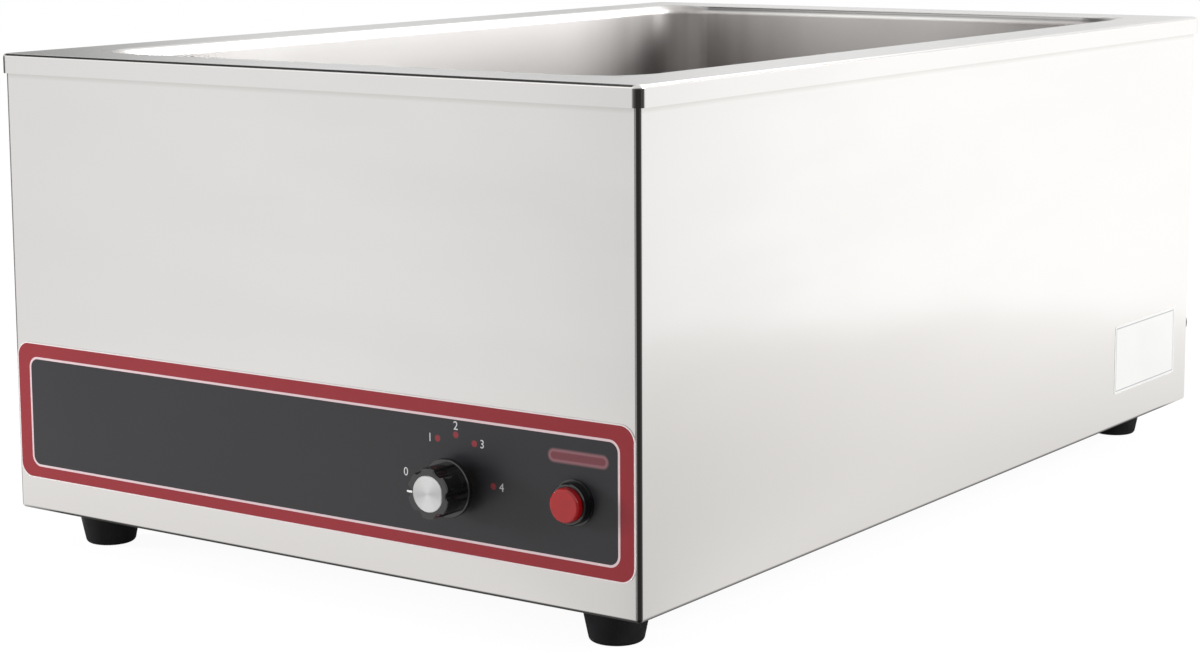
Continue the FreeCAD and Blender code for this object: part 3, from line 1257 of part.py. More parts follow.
def make_heater_leads():
    """Thermostat to cut-out, cut-out to element, and the capillary of the sensing bulb."""
    wire, under_limiter = dim.wire_radius, 38
    keep("limit_lead", route_tube("limit_lead", [
        (TAB_LEFT, TAB_Y, TAB_LEVEL), (43, TAB_Y, TAB_LEVEL), (26, -258, 40), (12, -240, 30),
        (LIMITER_TAB_X, LIMITER_Y, under_limiter), (LIMITER_TAB_X, LIMITER_Y, LIMITER_TAB_END),
    ], wire))
    keep("element_lead", route_tube("element_lead", [
        (-LIMITER_TAB_X, LIMITER_Y, LIMITER_TAB_END), (-LIMITER_TAB_X, LIMITER_Y, under_limiter),
        (-20, -234, 29), (-52, -236, 28), (-84, -244, 34), (-101, -256, 46), (-101, -259, 60),
        (-PIN_X, -252, ELEMENT_LEVEL), (-PIN_X, PIN_END, ELEMENT_LEVEL),
    ], wire))
    capillary_x, capillary_y = dim.knob_offset + 17, FRONT + 20
    keep("capillary", route_tube("capillary", [
        (capillary_x, capillary_y, CONTROL_LEVEL - dim.thermostat_height / 2),
        (capillary_x, capillary_y, 31), (124, -265, 25), (140, -252, 27), (145, -228, 34),
        (142, -196, 46), (135, -165, 61), (dim.bulb_offset, -145, BULB_LEVEL),
        (dim.bulb_offset, -dim.bulb_front, BULB_LEVEL),
    ], dim.capillary_radius))


def make_lamp_leads():
    """Two thin leads from the lamp, to a tab of the thermostat and to a pin of the element."""
    back = FRONT + dim.barrel_length - 1
    to_tab = [
        (dim.lamp_offset - 2, back, LAMP_LEVEL), (dim.lamp_offset - 2, back + 8, LAMP_LEVEL),
        (146, -258, 53), (134, -264, 42), (112, -270, 35), (86, TAB_Y, 31), (TAB_LEFT + 6, TAB_Y, 34),
        (TAB_LEFT + 4, TAB_Y, 45), (TAB_LEFT + 4, TAB_Y, TAB_LOW),
    ]
    to_pin = [
        (dim.lamp_offset + 2, back, LAMP_LEVEL), (dim.lamp_offset + 2, back + 9, LAMP_LEVEL),
        (144, -253, 70), (130, -245, 71), (116, -234, ELEMENT_LEVEL),
        (PIN_X + dim.pin_radius, -234, ELEMENT_LEVEL),
    ]
    group("lamp_leads", [
        route_tube(f"lamp_lead_{i}", points, dim.thin_wire_radius)
        for i, points in enumerate((to_tab, to_pin))
    ])


make_well_pan()
make_casing()
make_rear_panel()
make_base_panel()
make_feet()
make_overlay()
make_knob()
make_shaft()
make_thermostat()
make_lamp()
make_shield()
make_element()
make_clamps()
make_reflector()
make_insulation()
make_limiter()
make_bulb()
make_terminal_block()
make_earth()
make_gland()
make_mains_leads()
make_heater_leads()
make_lamp_leads()
doc.recompute()

for thing in doc.Objects:
    assert not {"Invalid", "Error"} & set(thing.State), f"{thing.Name} failed: {thing.State}"
for label, thing in nodes.items():
    assert not thing.Shape.isNull() and thing.Shape.isValid(), f"{label} has no valid shape"

os.makedirs("parts", exist_ok=True)
for label, thing in nodes.items():
    thing.Shape.exportStep(f"parts/{label}.step")
    box = thing.Shape.optimalBoundingBox(False, False)
    solids = len(thing.Shape.Solids)
    print(f"{label}: {solids} solid(s), {box.XLength:.1f} x {box.YLength:.1f} x {box.ZLength:.1f} mm")
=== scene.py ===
# %% [markdown]
# # A countertop food warmer
#
# The object is a stainless box with a deep well in its deck, which holds hot water and a
# food pan. A printed strip along the front carries a knob and a red lamp, and the box
# stands on four rubber feet. Its solids come from a CAD model, so this lesson gives them
# their finishes, adds the small printed and fastened things, and lights them.

# %% Load the solids
import json
import math

import bmesh
import bpy
from mathutils import Matrix, Vector


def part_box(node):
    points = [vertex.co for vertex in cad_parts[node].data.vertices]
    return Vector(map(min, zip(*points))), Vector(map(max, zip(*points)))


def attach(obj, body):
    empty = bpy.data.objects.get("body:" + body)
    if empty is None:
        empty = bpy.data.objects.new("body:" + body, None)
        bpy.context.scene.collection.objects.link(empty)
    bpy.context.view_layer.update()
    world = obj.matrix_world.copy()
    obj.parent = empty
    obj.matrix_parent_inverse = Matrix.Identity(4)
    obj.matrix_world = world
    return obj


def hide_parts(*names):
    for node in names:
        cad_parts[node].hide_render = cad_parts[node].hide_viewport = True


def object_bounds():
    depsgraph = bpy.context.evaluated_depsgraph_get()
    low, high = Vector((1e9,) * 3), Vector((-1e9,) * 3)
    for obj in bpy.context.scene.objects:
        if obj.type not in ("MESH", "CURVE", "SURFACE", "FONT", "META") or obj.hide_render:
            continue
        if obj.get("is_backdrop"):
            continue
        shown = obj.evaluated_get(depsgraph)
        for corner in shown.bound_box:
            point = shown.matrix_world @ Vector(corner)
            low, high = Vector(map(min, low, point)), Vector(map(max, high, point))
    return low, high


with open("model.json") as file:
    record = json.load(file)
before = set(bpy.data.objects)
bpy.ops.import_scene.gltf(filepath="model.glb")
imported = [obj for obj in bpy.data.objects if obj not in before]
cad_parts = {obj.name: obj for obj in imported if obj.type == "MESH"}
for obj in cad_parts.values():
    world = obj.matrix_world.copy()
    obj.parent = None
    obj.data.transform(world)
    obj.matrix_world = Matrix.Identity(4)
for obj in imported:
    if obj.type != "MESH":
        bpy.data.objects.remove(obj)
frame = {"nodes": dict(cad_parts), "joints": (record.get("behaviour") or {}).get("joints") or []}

cad_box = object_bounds()
nodes = frame["nodes"]
mm = 0.001
print(f"{len(nodes)} solids, {(cad_box[1] - cad_box[0]).z / mm:.1f} mm high")

# %% [markdown]
# ## Where things are
#
# Every place is worked out from the solids themselves, so a new size in the CAD model
# moves the looks along with it. The front face of the overlay is the plane that all the
# printing lies on, and the knob's joint gives the axis of the dial. A box tells only how
# far a piece reaches, so the walls of the well and the lower edge of the skirt come from
# the points of the pan.

# %% Places taken from the solids
WELL_MARGIN = 0.1 * mm
case_low, case_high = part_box("casing_wrap")
overlay_low, overlay_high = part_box("control_overlay")
overlay_face = overlay_low.y
overlay_middle = (overlay_low + overlay_high) / 2
knob_axis = Vector(frame["joints"][0]["pos_m"])
lens_low, lens_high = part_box("lamp_lens")
lamp_axis = (lens_low + lens_high) / 2
deck_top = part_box("well_pan")[1].z
pan_points = [vertex.co for vertex in nodes["well_pan"].data.vertices]
shaft_points = [point for point in pan_points if point.z < deck_top - 30 * mm]
well_half = [max(abs(point[axis]) for point in shaft_points) + WELL_MARGIN for axis in range(2)]
skirt_edge = min(point.z for point in pan_points if point.x > case_high.x + 1 * mm)
print("overlay", [round(v / mm, 1) for v in (overlay_high - overlay_low)], "mm")
print("well", [round(2 * v / mm, 1) for v in well_half], "mm over its walls")
print("skirt down to", round(skirt_edge / mm, 1), "mm")

# %% [markdown]
# ## Helpers for node trees
#
# A material is a small network: textures feed maths, and maths feeds the sockets of the
# shader. Four helpers keep that short. Each value that they take may be a number, a colour
# or the output of another node. The Mix node has a pair of sockets for each kind of value:
# 2 and 3 take numbers, 6 and 7 take colours.

# %% Add a node, calculate, blend and remap
def add(tree, kind, inputs=None, **settings):
    """Adds a node, changes its settings and fills its inputs."""
    node = tree.nodes.new(kind)
    for name, value in settings.items():
        setattr(node, name, value)
    for key, value in (inputs or {}).items():
        if isinstance(value, bpy.types.NodeSocket):
            tree.links.new(value, node.inputs[key])
        else:
            node.inputs[key].default_value = value
    return node


def calculate(tree, operation, *values, clamp=False):
    """One step of maths on numbers."""
    inputs = dict(enumerate(values))
    node = add(tree, "ShaderNodeMath", inputs, operation=operation, use_clamp=clamp)
    return node.outputs[0]


def blend(tree, share, low, high):
    """A number between low and high."""
    inputs = {0: share, 2: low, 3: high}
    return add(tree, "ShaderNodeMix", inputs, data_type="FLOAT", clamp_factor=True).outputs[0]


def blend_colours(tree, share, low, high, how="MIX"):
    """A colour between low and high."""
    inputs = {0: share, 6: low, 7: high}
    node = add(tree, "ShaderNodeMix", inputs, data_type="RGBA", blend_type=how)
    return node.outputs[2]


def remap(tree, value, low, high, start=0.0, end=1.0, soft=False):
    """Stretches the range from low to high so that it runs from start to end."""
    inputs = {0: value, 1: low, 2: high, 3: start, 4: end}
    way = "SMOOTHSTEP" if soft else "LINEAR"
    return add(tree, "ShaderNodeMapRange", inputs, interpolation_type=way).outputs[0]


# %% Colours and ramps
def colour(red, green, blue):
    """A colour written as a paint chart gives it, from 0 to 255, as the shader wants it."""
    def linear(level):
        share = level / 255
        return share / 12.92 if share <= 0.04045 else ((share + 0.055) / 1.055) ** 2.4
    return (linear(red), linear(green), linear(blue), 1.0)


def ramp(tree, value, stops):
    """A colour ramp through stops, each a place from 0 to 1 and a grey level."""
    node = add(tree, "ShaderNodeValToRGB", {0: value})
    band = node.color_ramp.elements
    while len(band) < len(stops):
        band.new(0.5)
    for element, (place, level) in zip(band, stops):
        element.position = place
        element.color = (level, level, level, 1)
    return node.outputs[0]


# %% [markdown]
# ## Shared effects
#
# An effect that several finishes use is a node group with named inputs: built once, placed
# many times. Each reads the piece's own coordinates, in metres, so that a pattern keeps its
# real size and stays with the piece when it moves.

# %% A group with named inputs and outputs
def new_group(name, inputs, outputs):
    """An empty group with its input and output nodes."""
    tree = bpy.data.node_groups.new(name, "ShaderNodeTree")
    for label, value in inputs.items():
        kind = "NodeSocketVector" if isinstance(value, tuple) else "NodeSocketFloat"
        tree.interface.new_socket(label, in_out="INPUT", socket_type=kind).default_value = value
    for label in outputs:
        tree.interface.new_socket(label, in_out="OUTPUT", socket_type="NodeSocketFloat")
    return tree, tree.nodes.new("NodeGroupInput").outputs, tree.nodes.new("NodeGroupOutput").inputs


def object_place(tree):
    return add(tree, "ShaderNodeTexCoord").outputs["Object"]


def use(tree, group, **values):
    """Places a group, fills its inputs and returns its outputs."""
    node = tree.nodes.new("ShaderNodeGroup")
    node.node_tree = group
    for name, value in values.items():
        socket = node.inputs[name.replace("_", " ")]
        if isinstance(value, bpy.types.NodeSocket):
            tree.links.new(value, socket)
        else:
            socket.default_value = value
    return node.outputs


# %% Mottling: slow clouds, small blotches and a fine grain
mottling, given, result = new_group(
    "mottling", {"Cloud Size": 0.1, "Grain Size": 0.001, "Stretch": (1.0, 1.0, 1.0)},
    ["Clouds", "Grain"],
)
stretched = add(mottling, "ShaderNodeVectorMath", {0: object_place(mottling), 1: given["Stretch"]},
                operation="DIVIDE").outputs[0]
for size, pattern, detail in (("Cloud Size", "Clouds", 2.0), ("Grain Size", "Grain", 4.0)):
    scale = calculate(mottling, "DIVIDE", 1.0, given[size])
    noise = add(mottling, "ShaderNodeTexNoise",
                {"Vector": stretched, "Scale": scale, "Detail": detail})
    mottling.links.new(noise.outputs[0], result[pattern])
print("mottling group:", len(mottling.nodes), "nodes")

# %% Rounded field: the distance to a rectangle with round corners, on an upright face
rounded_field, given, result = new_group(
    "rounded_field",
    {"Middle": (0.0, 0.0, 0.0), "Across": (1.0, 0.0, 0.0), "Half Width": 0.1,
     "Half Height": 0.05, "Corner": 0.005},
    ["Distance"],
)
offset = add(rounded_field, "ShaderNodeVectorMath",
             {0: object_place(rounded_field), 1: given["Middle"]}, operation="SUBTRACT").outputs[0]
sideways = add(rounded_field, "ShaderNodeVectorMath", {0: offset, 1: given["Across"]},
               operation="DOT_PRODUCT").outputs["Value"]
upward = add(rounded_field, "ShaderNodeSeparateXYZ", {0: offset}).outputs[2]
beyond = []
for part, label in ((sideways, "Half Width"), (upward, "Half Height")):
    inner = calculate(rounded_field, "SUBTRACT", given[label], given["Corner"])
    reach = calculate(rounded_field, "ABSOLUTE", part)
    beyond.append(calculate(rounded_field, "SUBTRACT", reach, inner))
outer = [calculate(rounded_field, "MAXIMUM", value, 0.0) for value in beyond]
corner_reach = calculate(
    rounded_field, "SQRT",
    calculate(rounded_field, "ADD", *[calculate(rounded_field, "MULTIPLY", v, v) for v in outer]),
)
inside = calculate(rounded_field, "MINIMUM", calculate(rounded_field, "MAXIMUM", *beyond), 0.0)
distance = calculate(rounded_field, "SUBTRACT",
                     calculate(rounded_field, "ADD", corner_reach, inside), given["Corner"])
rounded_field.links.new(distance, result["Distance"])
print("rounded field group:", len(rounded_field.nodes), "nodes")

# %% Turned marks: fine rings round an axis that points out of the front
turned_marks, given, result = new_group(
    "turned_marks", {"Middle": (0.0, 0.0, 0.0), "Pitch": 0.0003}, ["Rings", "Radius"]
)
offset = add(turned_marks, "ShaderNodeVectorMath",
             {0: object_place(turned_marks), 1: given["Middle"]}, operation="SUBTRACT").outputs[0]
flat = add(turned_marks, "ShaderNodeVectorMath", {0: offset, 1: (1.0, 0.0, 1.0)},
           operation="MULTIPLY").outputs[0]
radius = add(turned_marks, "ShaderNodeVectorMath", {0: flat}, operation="LENGTH").outputs["Value"]
turns = calculate(turned_marks, "DIVIDE", radius, given["Pitch"])
uneven = add(turned_marks, "ShaderNodeTexNoise", {"W": turns, "Scale": 1.0, "Detail": 2.0},
             noise_dimensions="1D").outputs[0]
turned_marks.links.new(uneven, result["Rings"])
turned_marks.links.new(radius, result["Radius"])
print("turned marks group:", len(turned_marks.nodes), "nodes")

# %% [markdown]
# ## A place for each finish
#
# A new material already holds a Principled shader. A finish is then four things: its
# colour, how rough it is, whether it is a metal, and the relief of its surface. The
# helpers below start one and end one, and each finish fills in what lies between.

# %% Start and end a finish
def new_finish(name, metal=0.0, **sockets):
    """A material with a plain Principled shader, whose steady values are set on its sockets."""
    material = bpy.data.materials.new(name)
    material.use_nodes = True
    tree = material.node_tree
    shader = tree.nodes["Principled BSDF"]
    shader.inputs["Metallic"].default_value = metal
    for label, value in sockets.items():
        shader.inputs[label.replace("_", " ")].default_value = value
    return material, tree, shader.inputs


def set_relief(tree, sockets, height, strength=1.0):
    """Bends the light as a relief of that height, in metres, would."""
    bump = add(tree, "ShaderNodeBump", {"Height": height, "Distance": 1.0, "Strength": strength})
    tree.links.new(bump.outputs[0], sockets["Normal"])


def fill(tree, socket, value):
    if isinstance(value, bpy.types.NodeSocket):
        tree.links.new(value, socket)
    else:
        socket.default_value = value


def dress(material, *names):
    """Gives a finish to solids of the CAD model."""
    print(material.name, "on", len(names), "solids")
    for name in names:
        data = nodes[name].data
        data.materials.clear()
        data.materials.append(material)
        for face in data.polygons:
            face.material_index = 0


# %% [markdown]
# ## Stainless sheet
#
# The deck, the well and the casing are bright annealed stainless. From the mill it has a
# faint grain along the sheet, and after folding no panel is truly flat: it waves by a
# fraction of a millimetre, so reflections turn into soft clouds. A mirror-flat plane would
# look like plastic, so the waves go into the relief, and wiping marks into the roughness.
#
# Drawing the well stretches its sheet, which leaves the inside duller than the deck. Its
# colour carries painted light and shade: bright just below the rim, then a painted shade
# that deepens with depth and, in streaks, towards the corners, where the walls shade each
# other. The sharp folds of the casing carry a painted dark reflection, and the sheet just
# under the skirt a painted shade. All of these are masks of how far a place lies beyond an
# upright shaft.

# %% Where a place lies on the sheet
CORNER_RADIUS = 2.5 * mm
FOLD_HALF = (case_high.x - CORNER_RADIUS, -case_low.y - CORNER_RADIUS)


def beyond_shaft(tree, half_x, half_y):
    """How far a place lies beyond each pair of sides of an upright shaft round the origin."""
    reach = add(tree, "ShaderNodeVectorMath", {0: object_place(tree)},
                operation="ABSOLUTE").outputs[0]
    beyond = add(tree, "ShaderNodeVectorMath", {0: reach, 1: (half_x, half_y, 0)},
                 operation="SUBTRACT").outputs[0]
    return add(tree, "ShaderNodeSeparateXYZ", {0: beyond}).outputs


# %% Tone of the drawn sheet, with painted light and shade
CORNER_SHADE_START, CORNER_SHADE_END = -130 * mm, -14 * mm
DEPTH_START, DEPTH_END = 5 * mm, 50 * mm


def drawn_tone(tree, beyond, height):
    """Painted light below the rim; painted shade deeper down and in streaks by the corners."""
    shade_streak_noise = use(tree, mottling, Cloud_Size=0.016, Grain_Size=0.005, Stretch=(1.0, 1.0, 12.0))
    nearest = calculate(tree, "MINIMUM", beyond[0], beyond[1])
    corner = remap(tree, nearest, CORNER_SHADE_START, CORNER_SHADE_END, soft=True)
    streaks = remap(tree, shade_streak_noise["Clouds"], 0.3, 0.7, 0.75, 1.0)
    painted_corner_shade = calculate(tree, "MULTIPLY", corner, streaks)
    # Painted light near the rim, painted shade with depth and towards the corners, where the walls
    # shade each other.
    upper = blend_colours(tree, painted_corner_shade, colour(248, 246, 244), colour(176, 172, 170))
    lower = blend_colours(tree, painted_corner_shade, colour(206, 202, 200), colour(138, 135, 133))
    painted_depth_shade = remap(tree, height, deck_top - DEPTH_START, deck_top - DEPTH_END)
    return blend_colours(tree, painted_depth_shade, upper, lower)


# %% Painted shade along the skirt and the folds
CASING_START, CASING_END = 25 * mm, 30 * mm
SKIRT_SHADE_DROP, SKIRT_SHADE_GAP = 3 * mm, 0.3 * mm
FOLD_START, FOLD_END = 0.4 * mm, 1.0 * mm
FOLD_DROP = 1 * mm


def shade_edges(tree, tone, beyond, height):
    """Paints shade under the skirt and a dark reflection on the upright folds below the deck."""
    outside = [remap(tree, beyond[axis], CASING_START, CASING_END) for axis in range(2)]
    below = remap(tree, height, skirt_edge - SKIRT_SHADE_DROP, skirt_edge - SKIRT_SHADE_GAP, soft=True)
    above = remap(tree, height, skirt_edge - SKIRT_SHADE_GAP / 3, skirt_edge, 1.0, 0.0)
    painted_skirt_shade = calculate(tree, "MULTIPLY", calculate(tree, "MULTIPLY", below, above),
                      calculate(tree, "MAXIMUM", *outside))
    # Painted shade on the sheet just under the skirt.
    tone = blend_colours(tree, painted_skirt_shade, tone, colour(218, 216, 213))
    edge = beyond_shaft(tree, *FOLD_HALF)
    nearest = calculate(tree, "MINIMUM", edge[0], edge[1])
    painted_fold_shade = remap(tree, nearest, FOLD_START, FOLD_END, soft=True)
    upright = remap(tree, height, deck_top - 2 * FOLD_DROP, deck_top - FOLD_DROP, 1.0, 0.0)
    # Painted dark reflection along the upright folds of the casing.
    return blend_colours(tree, calculate(tree, "MULTIPLY", painted_fold_shade, upright), tone,
                         colour(96, 94, 92))


# %% Stainless
DRAWN_START, DRAWN_END = 2 * mm, -1.5 * mm
DRAWN_ROUGHNESS = 0.42
ROLLED_ROUGHNESS = (0.15, 0.19)
GRAIN_ROUGHNESS = 0.012
WAVE_HEIGHT = 1.6 * mm
GRAIN_HEIGHT = 0.0004 * mm


def make_stainless():
    material, tree, sockets = new_finish("stainless", metal=1.0)
    slow = use(tree, mottling, Cloud_Size=0.22, Grain_Size=0.0009, Stretch=(1.0, 1.6, 0.55))
    wiped = use(tree, mottling, Cloud_Size=0.05, Grain_Size=0.004, Stretch=(2.5, 2.5, 0.6))
    height = add(tree, "ShaderNodeSeparateXYZ", {0: object_place(tree)}).outputs[2]
    beyond = beyond_shaft(tree, *well_half)
    farthest = calculate(tree, "MAXIMUM", beyond[0], beyond[1])
    drawn = remap(tree, farthest, DRAWN_START, DRAWN_END, soft=True)
    rolled = blend_colours(tree, slow["Grain"], colour(234, 232, 230), colour(230, 228, 226))
    tone = blend_colours(tree, drawn, rolled, drawn_tone(tree, beyond, height))
    fill(tree, sockets["Base Color"], shade_edges(tree, tone, beyond, height))
    rubbed = remap(tree, wiped["Clouds"], 0.35, 0.7, *ROLLED_ROUGHNESS, soft=True)
    fine = calculate(tree, "MULTIPLY", slow["Grain"], GRAIN_ROUGHNESS)
    sheet = calculate(tree, "ADD", rubbed, fine)
    fill(tree, sockets["Roughness"], blend(tree, drawn, sheet, DRAWN_ROUGHNESS))
    waves = calculate(tree, "MULTIPLY", slow["Clouds"], WAVE_HEIGHT)
    grain = calculate(tree, "MULTIPLY", slow["Grain"], GRAIN_HEIGHT)
    set_relief(tree, sockets, calculate(tree, "ADD", waves, grain))
    return material


dress(make_stainless(), "well_pan", "casing_wrap", "rear_panel")

# %% [markdown]
# ## Other metals
#
# Zinc plating, brass, copper and heat-tinted sheath differ in colour and in how uneven
# they are. One function with a few named values makes them all. Galvanised sheet is
# apart: its zinc sets in flat crystals some millimetres wide, which cells imitate.

# %% Plated, turned and tinted metals
RUBBED_ROUGHNESS = 0.12


def make_metal(name, bright, dull, rough, blotch=0.02, grain=0.0006, relief=0.0015):
    """A metal between two tones, with blotches of that size and a fine grain."""
    material, tree, sockets = new_finish(name, metal=1.0)
    marks = use(tree, mottling, Cloud_Size=blotch, Grain_Size=grain)
    share = remap(tree, marks["Clouds"], 0.3, 0.7, soft=True)
    fill(tree, sockets["Base Color"], blend_colours(tree, share, dull, bright))
    rubbed = calculate(tree, "MULTIPLY", marks["Grain"], RUBBED_ROUGHNESS)
    fill(tree, sockets["Roughness"], calculate(tree, "ADD", rubbed, rough))
    set_relief(tree, sockets, calculate(tree, "MULTIPLY", marks["Grain"], relief * mm))
    return material


CRYSTALS_PER_METRE = 140.0
CRYSTAL_RELIEF = 0.0006


def make_galvanised():
    """Zinc crystals: each cell has its own grey and its own roughness."""
    material, tree, sockets = new_finish("galvanised", metal=1.0)
    cells = add(tree, "ShaderNodeTexVoronoi",
                {"Vector": object_place(tree), "Scale": CRYSTALS_PER_METRE})
    grey = add(tree, "ShaderNodeSeparateColor", {0: cells.outputs["Color"]}).outputs[0]
    dull, bright = colour(168, 171, 174), colour(205, 208, 210)
    fill(tree, sockets["Base Color"], blend_colours(tree, grey, dull, bright))
    fill(tree, sockets["Roughness"], remap(tree, grey, 0.0, 1.0, 0.32, 0.5))
    relief = calculate(tree, "MULTIPLY", cells.outputs["Distance"], CRYSTAL_RELIEF)
    set_relief(tree, sockets, relief)
    return material


zinc = make_metal("zinc_steel", colour(205, 208, 212), colour(178, 182, 186), 0.24, blotch=0.004)
brass = make_metal("brass", colour(214, 180, 110), colour(190, 152, 84), 0.22)
copper = make_metal("copper", colour(206, 140, 104), colour(168, 98, 68), 0.24)
sheath = make_metal("sheath", colour(126, 112, 98), colour(84, 74, 70), 0.38, blotch=0.05)
galvanised = make_galvanised()
dress(zinc, "rear_panel_screws", "base_screws", "foot_bolts", "foot_washers", "foot_nuts",
      "control_shaft", "thermostat_body", "lamp_nut", "shield_screws", "element_pins",
      "weld_studs", "clamp_nuts", "slab_washers", "limit_nuts", "bulb_clips", "block_screws")
dress(galvanised, "base_panel", "heat_shield", "element_clamp_front", "element_clamp_middle",
      "element_clamp_rear")
dress(brass, "control_nut", "thermostat_tabs", "terminal_screws", "earth_stud", "earth_nuts")
dress(copper, "sensing_bulb", "capillary")
dress(sheath, "heating_element")

# %% [markdown]
# ## Spun aluminium
#
# The disc in the knob was turned on a lathe, so its surface is full of rings. Rings smear
# a highlight across themselves, which gives the bright and dark wedges that meet in the
# middle. The shader has that smear built in, as anisotropy along a tangent that runs
# round the axis, and the finest rings are added as a relief.

# %% Spun aluminium
RING_PITCH = 0.25 * mm
RING_DEPTH = 0.002 * mm


def make_spun_aluminium():
    material, tree, sockets = new_finish("spun_aluminium", metal=1.0, Anisotropic=0.9,
                                         Anisotropic_Rotation=0.25)
    marks = use(tree, turned_marks, Middle=tuple(knob_axis), Pitch=RING_PITCH)
    dull, bright = colour(226, 226, 227), colour(244, 244, 244)
    fill(tree, sockets["Base Color"], blend_colours(tree, marks["Rings"], dull, bright))
    fill(tree, sockets["Roughness"], remap(tree, marks["Rings"], 0.2, 0.8, 0.36, 0.44))
    around = add(tree, "ShaderNodeTangent", direction_type="RADIAL", axis="Y")
    tree.links.new(around.outputs[0], sockets["Tangent"])
    set_relief(tree, sockets, calculate(tree, "MULTIPLY", marks["Rings"], RING_DEPTH))
    return material


dress(make_spun_aluminium(), "knob_cap")
dress(make_metal("bright_aluminium", colour(236, 236, 238), colour(216, 217, 220), 0.16,
                 blotch=0.06), "reflector_tray")

# %% [markdown]
# ## Rubber, plastics and ceramics
#
# Moulded things are never one flat colour. Rubber chalks a little where hands rub it,
# gloss mouldings show faint flow marks, and nylon has a fine matt skin. The function takes
# two close colours, a roughness and the depth of the skin.

# %% Moulded finishes
SKIN_GRAIN = 0.0007


def make_moulding(name, base, worn, rough, spread=0.08, skin=0.01, cloud=0.012, **more):
    """A moulded material whose colour drifts between base and worn."""
    material, tree, sockets = new_finish(name, **more)
    marks = use(tree, mottling, Cloud_Size=cloud, Grain_Size=SKIN_GRAIN)
    share = remap(tree, marks["Clouds"], 0.35, 0.75, soft=True)
    fill(tree, sockets["Base Color"], blend_colours(tree, share, base, worn))
    drift = calculate(tree, "MULTIPLY", marks["Grain"], spread)
    fill(tree, sockets["Roughness"], calculate(tree, "ADD", drift, rough))
    set_relief(tree, sockets, calculate(tree, "MULTIPLY", marks["Grain"], skin * mm))
    return material


dress(make_moulding("black_rubber", colour(28, 28, 30), colour(36, 36, 38), 0.38, skin=0.012),
      "foot_front_left", "foot_front_right", "foot_rear_left", "foot_rear_right", "gland_seal")
dress(make_moulding("black_plastic", colour(9, 9, 10), colour(14, 14, 16), 0.09, spread=0.05,
                    skin=0.001, Specular_IOR_Level=1.0), "control_knob", "lamp_bezel")
dress(make_moulding("dark_nylon", colour(24, 24, 25), colour(34, 34, 36), 0.45, skin=0.012),
      "gland_body", "gland_cap", "gland_locknut")
dress(make_moulding("pale_plastic", colour(228, 226, 216), colour(214, 210, 196), 0.4),
      "bulb_holder", "terminal_block")
dress(make_moulding("brown_moulding", colour(92, 58, 38), colour(66, 40, 26), 0.34),
      "limit_cutout")
dress(make_moulding("ceramic", colour(238, 234, 224), colour(222, 216, 202), 0.3, skin=0.02),
      "element_bushes")

# %% The red lens and the bulb behind it
lens_finish = make_moulding("red_lens", colour(158, 6, 14), colour(146, 4, 12), 0.14,
                            spread=0.05, skin=0.001, Coat_Weight=0.4, Coat_Roughness=0.06)
dress(lens_finish, "lamp_lens")
dress(make_moulding("bulb_glass", colour(246, 232, 214), colour(240, 220, 200), 0.05,
                    spread=0.04, skin=0.001, Transmission_Weight=0.9), "neon_bulb")

# %% Insulation on the wires
WIRE_SHADE = 0.8
WIRES = {
    "brown_wire": (colour(104, 64, 40), ["live_lead"]),
    "blue_wire": (colour(62, 98, 168), ["neutral_lead"]),
    "green_wire": (colour(96, 148, 66), ["earth_lead"]),
    "white_wire": (colour(228, 228, 222), ["limit_lead", "element_lead", "lamp_leads"]),
}
for name, (shade, leads) in WIRES.items():
    darker = tuple(WIRE_SHADE * part for part in shade[:3]) + (1.0,)
    dress(make_moulding(name, shade, darker, 0.36, cloud=0.03), *leads)
print(len(WIRES), "colours of wire")

# %% [markdown]
# ## Mineral wool
#
# The slab and the blanket are pressed fibres. Long thin noise in two directions gives the
# tangle, and it feeds both the colour and the relief, so that the low gaps carry a painted
# shade: dark gaps are also low.

# %% Mineral wool
TANGLE_DEPTH = 0.6 * mm


def make_mineral_wool():
    material, tree, sockets = new_finish("mineral_wool", Roughness=0.95)
    across = use(tree, mottling, Cloud_Size=0.03, Grain_Size=0.0012, Stretch=(6.0, 1.0, 1.0))
    along = use(tree, mottling, Cloud_Size=0.03, Grain_Size=0.0012, Stretch=(1.0, 6.0, 1.0))
    tangle = calculate(tree, "MAXIMUM", across["Grain"], along["Grain"])
    share = remap(tree, tangle, 0.4, 0.75, soft=True)
    # Low gaps in the tangle are painted darker, as shade.
    fill(tree, sockets["Base Color"], blend_colours(
        tree, share, colour(176, 164, 132), colour(228, 220, 194)))
    set_relief(tree, sockets, calculate(tree, "MULTIPLY", tangle, TANGLE_DEPTH))
    return material


dress(make_mineral_wool(), "base_insulation", "side_insulation")

# %% [markdown]
# ## The printed overlay
#
# The strip on the front is a polyester film printed in layers: a pale rim, a red band, a
# pale stripe and a dark field, with four red dots round the knob and a pale plate above
# the lamp. All of these are nested rounded rectangles or circles, so one distance to each
# shape, compared with nought, decides which ink shows. That stays sharp at any size.

# %% Sizes of the print
RIM = 0.6 * mm
STRIPE = 1.1 * mm
FIELD_LOW, FIELD_HIGH = 22.9 * mm, 76.3 * mm
FIELD_LEFT, FIELD_RIGHT = 10.9 * mm, 359.7 * mm
FIELD_CORNER = 5 * mm
DOT_RING = 20.1 * mm
DOT_RADIUS = 1.45 * mm
DOT_TURNS = (-30, 0, 30, 90)
DIAL_RISE = 2.1 * mm
PLATE_OFFSET = (1.8 * mm, 18.9 * mm)
PLATE_HALF = (15.2 * mm, 2.7 * mm)
OVERLAY_CORNER = 7.5 * mm
FILM_RELIEF = 0.002 * mm
dial_middle = Vector((knob_axis.x, 0, knob_axis.z + DIAL_RISE))


def round_dial(turn, reach):
    """A place on the dial, turned clockwise from the top by that many degrees."""
    angle = math.radians(turn)
    return dial_middle + Vector((math.sin(angle), 0, math.cos(angle))) * reach


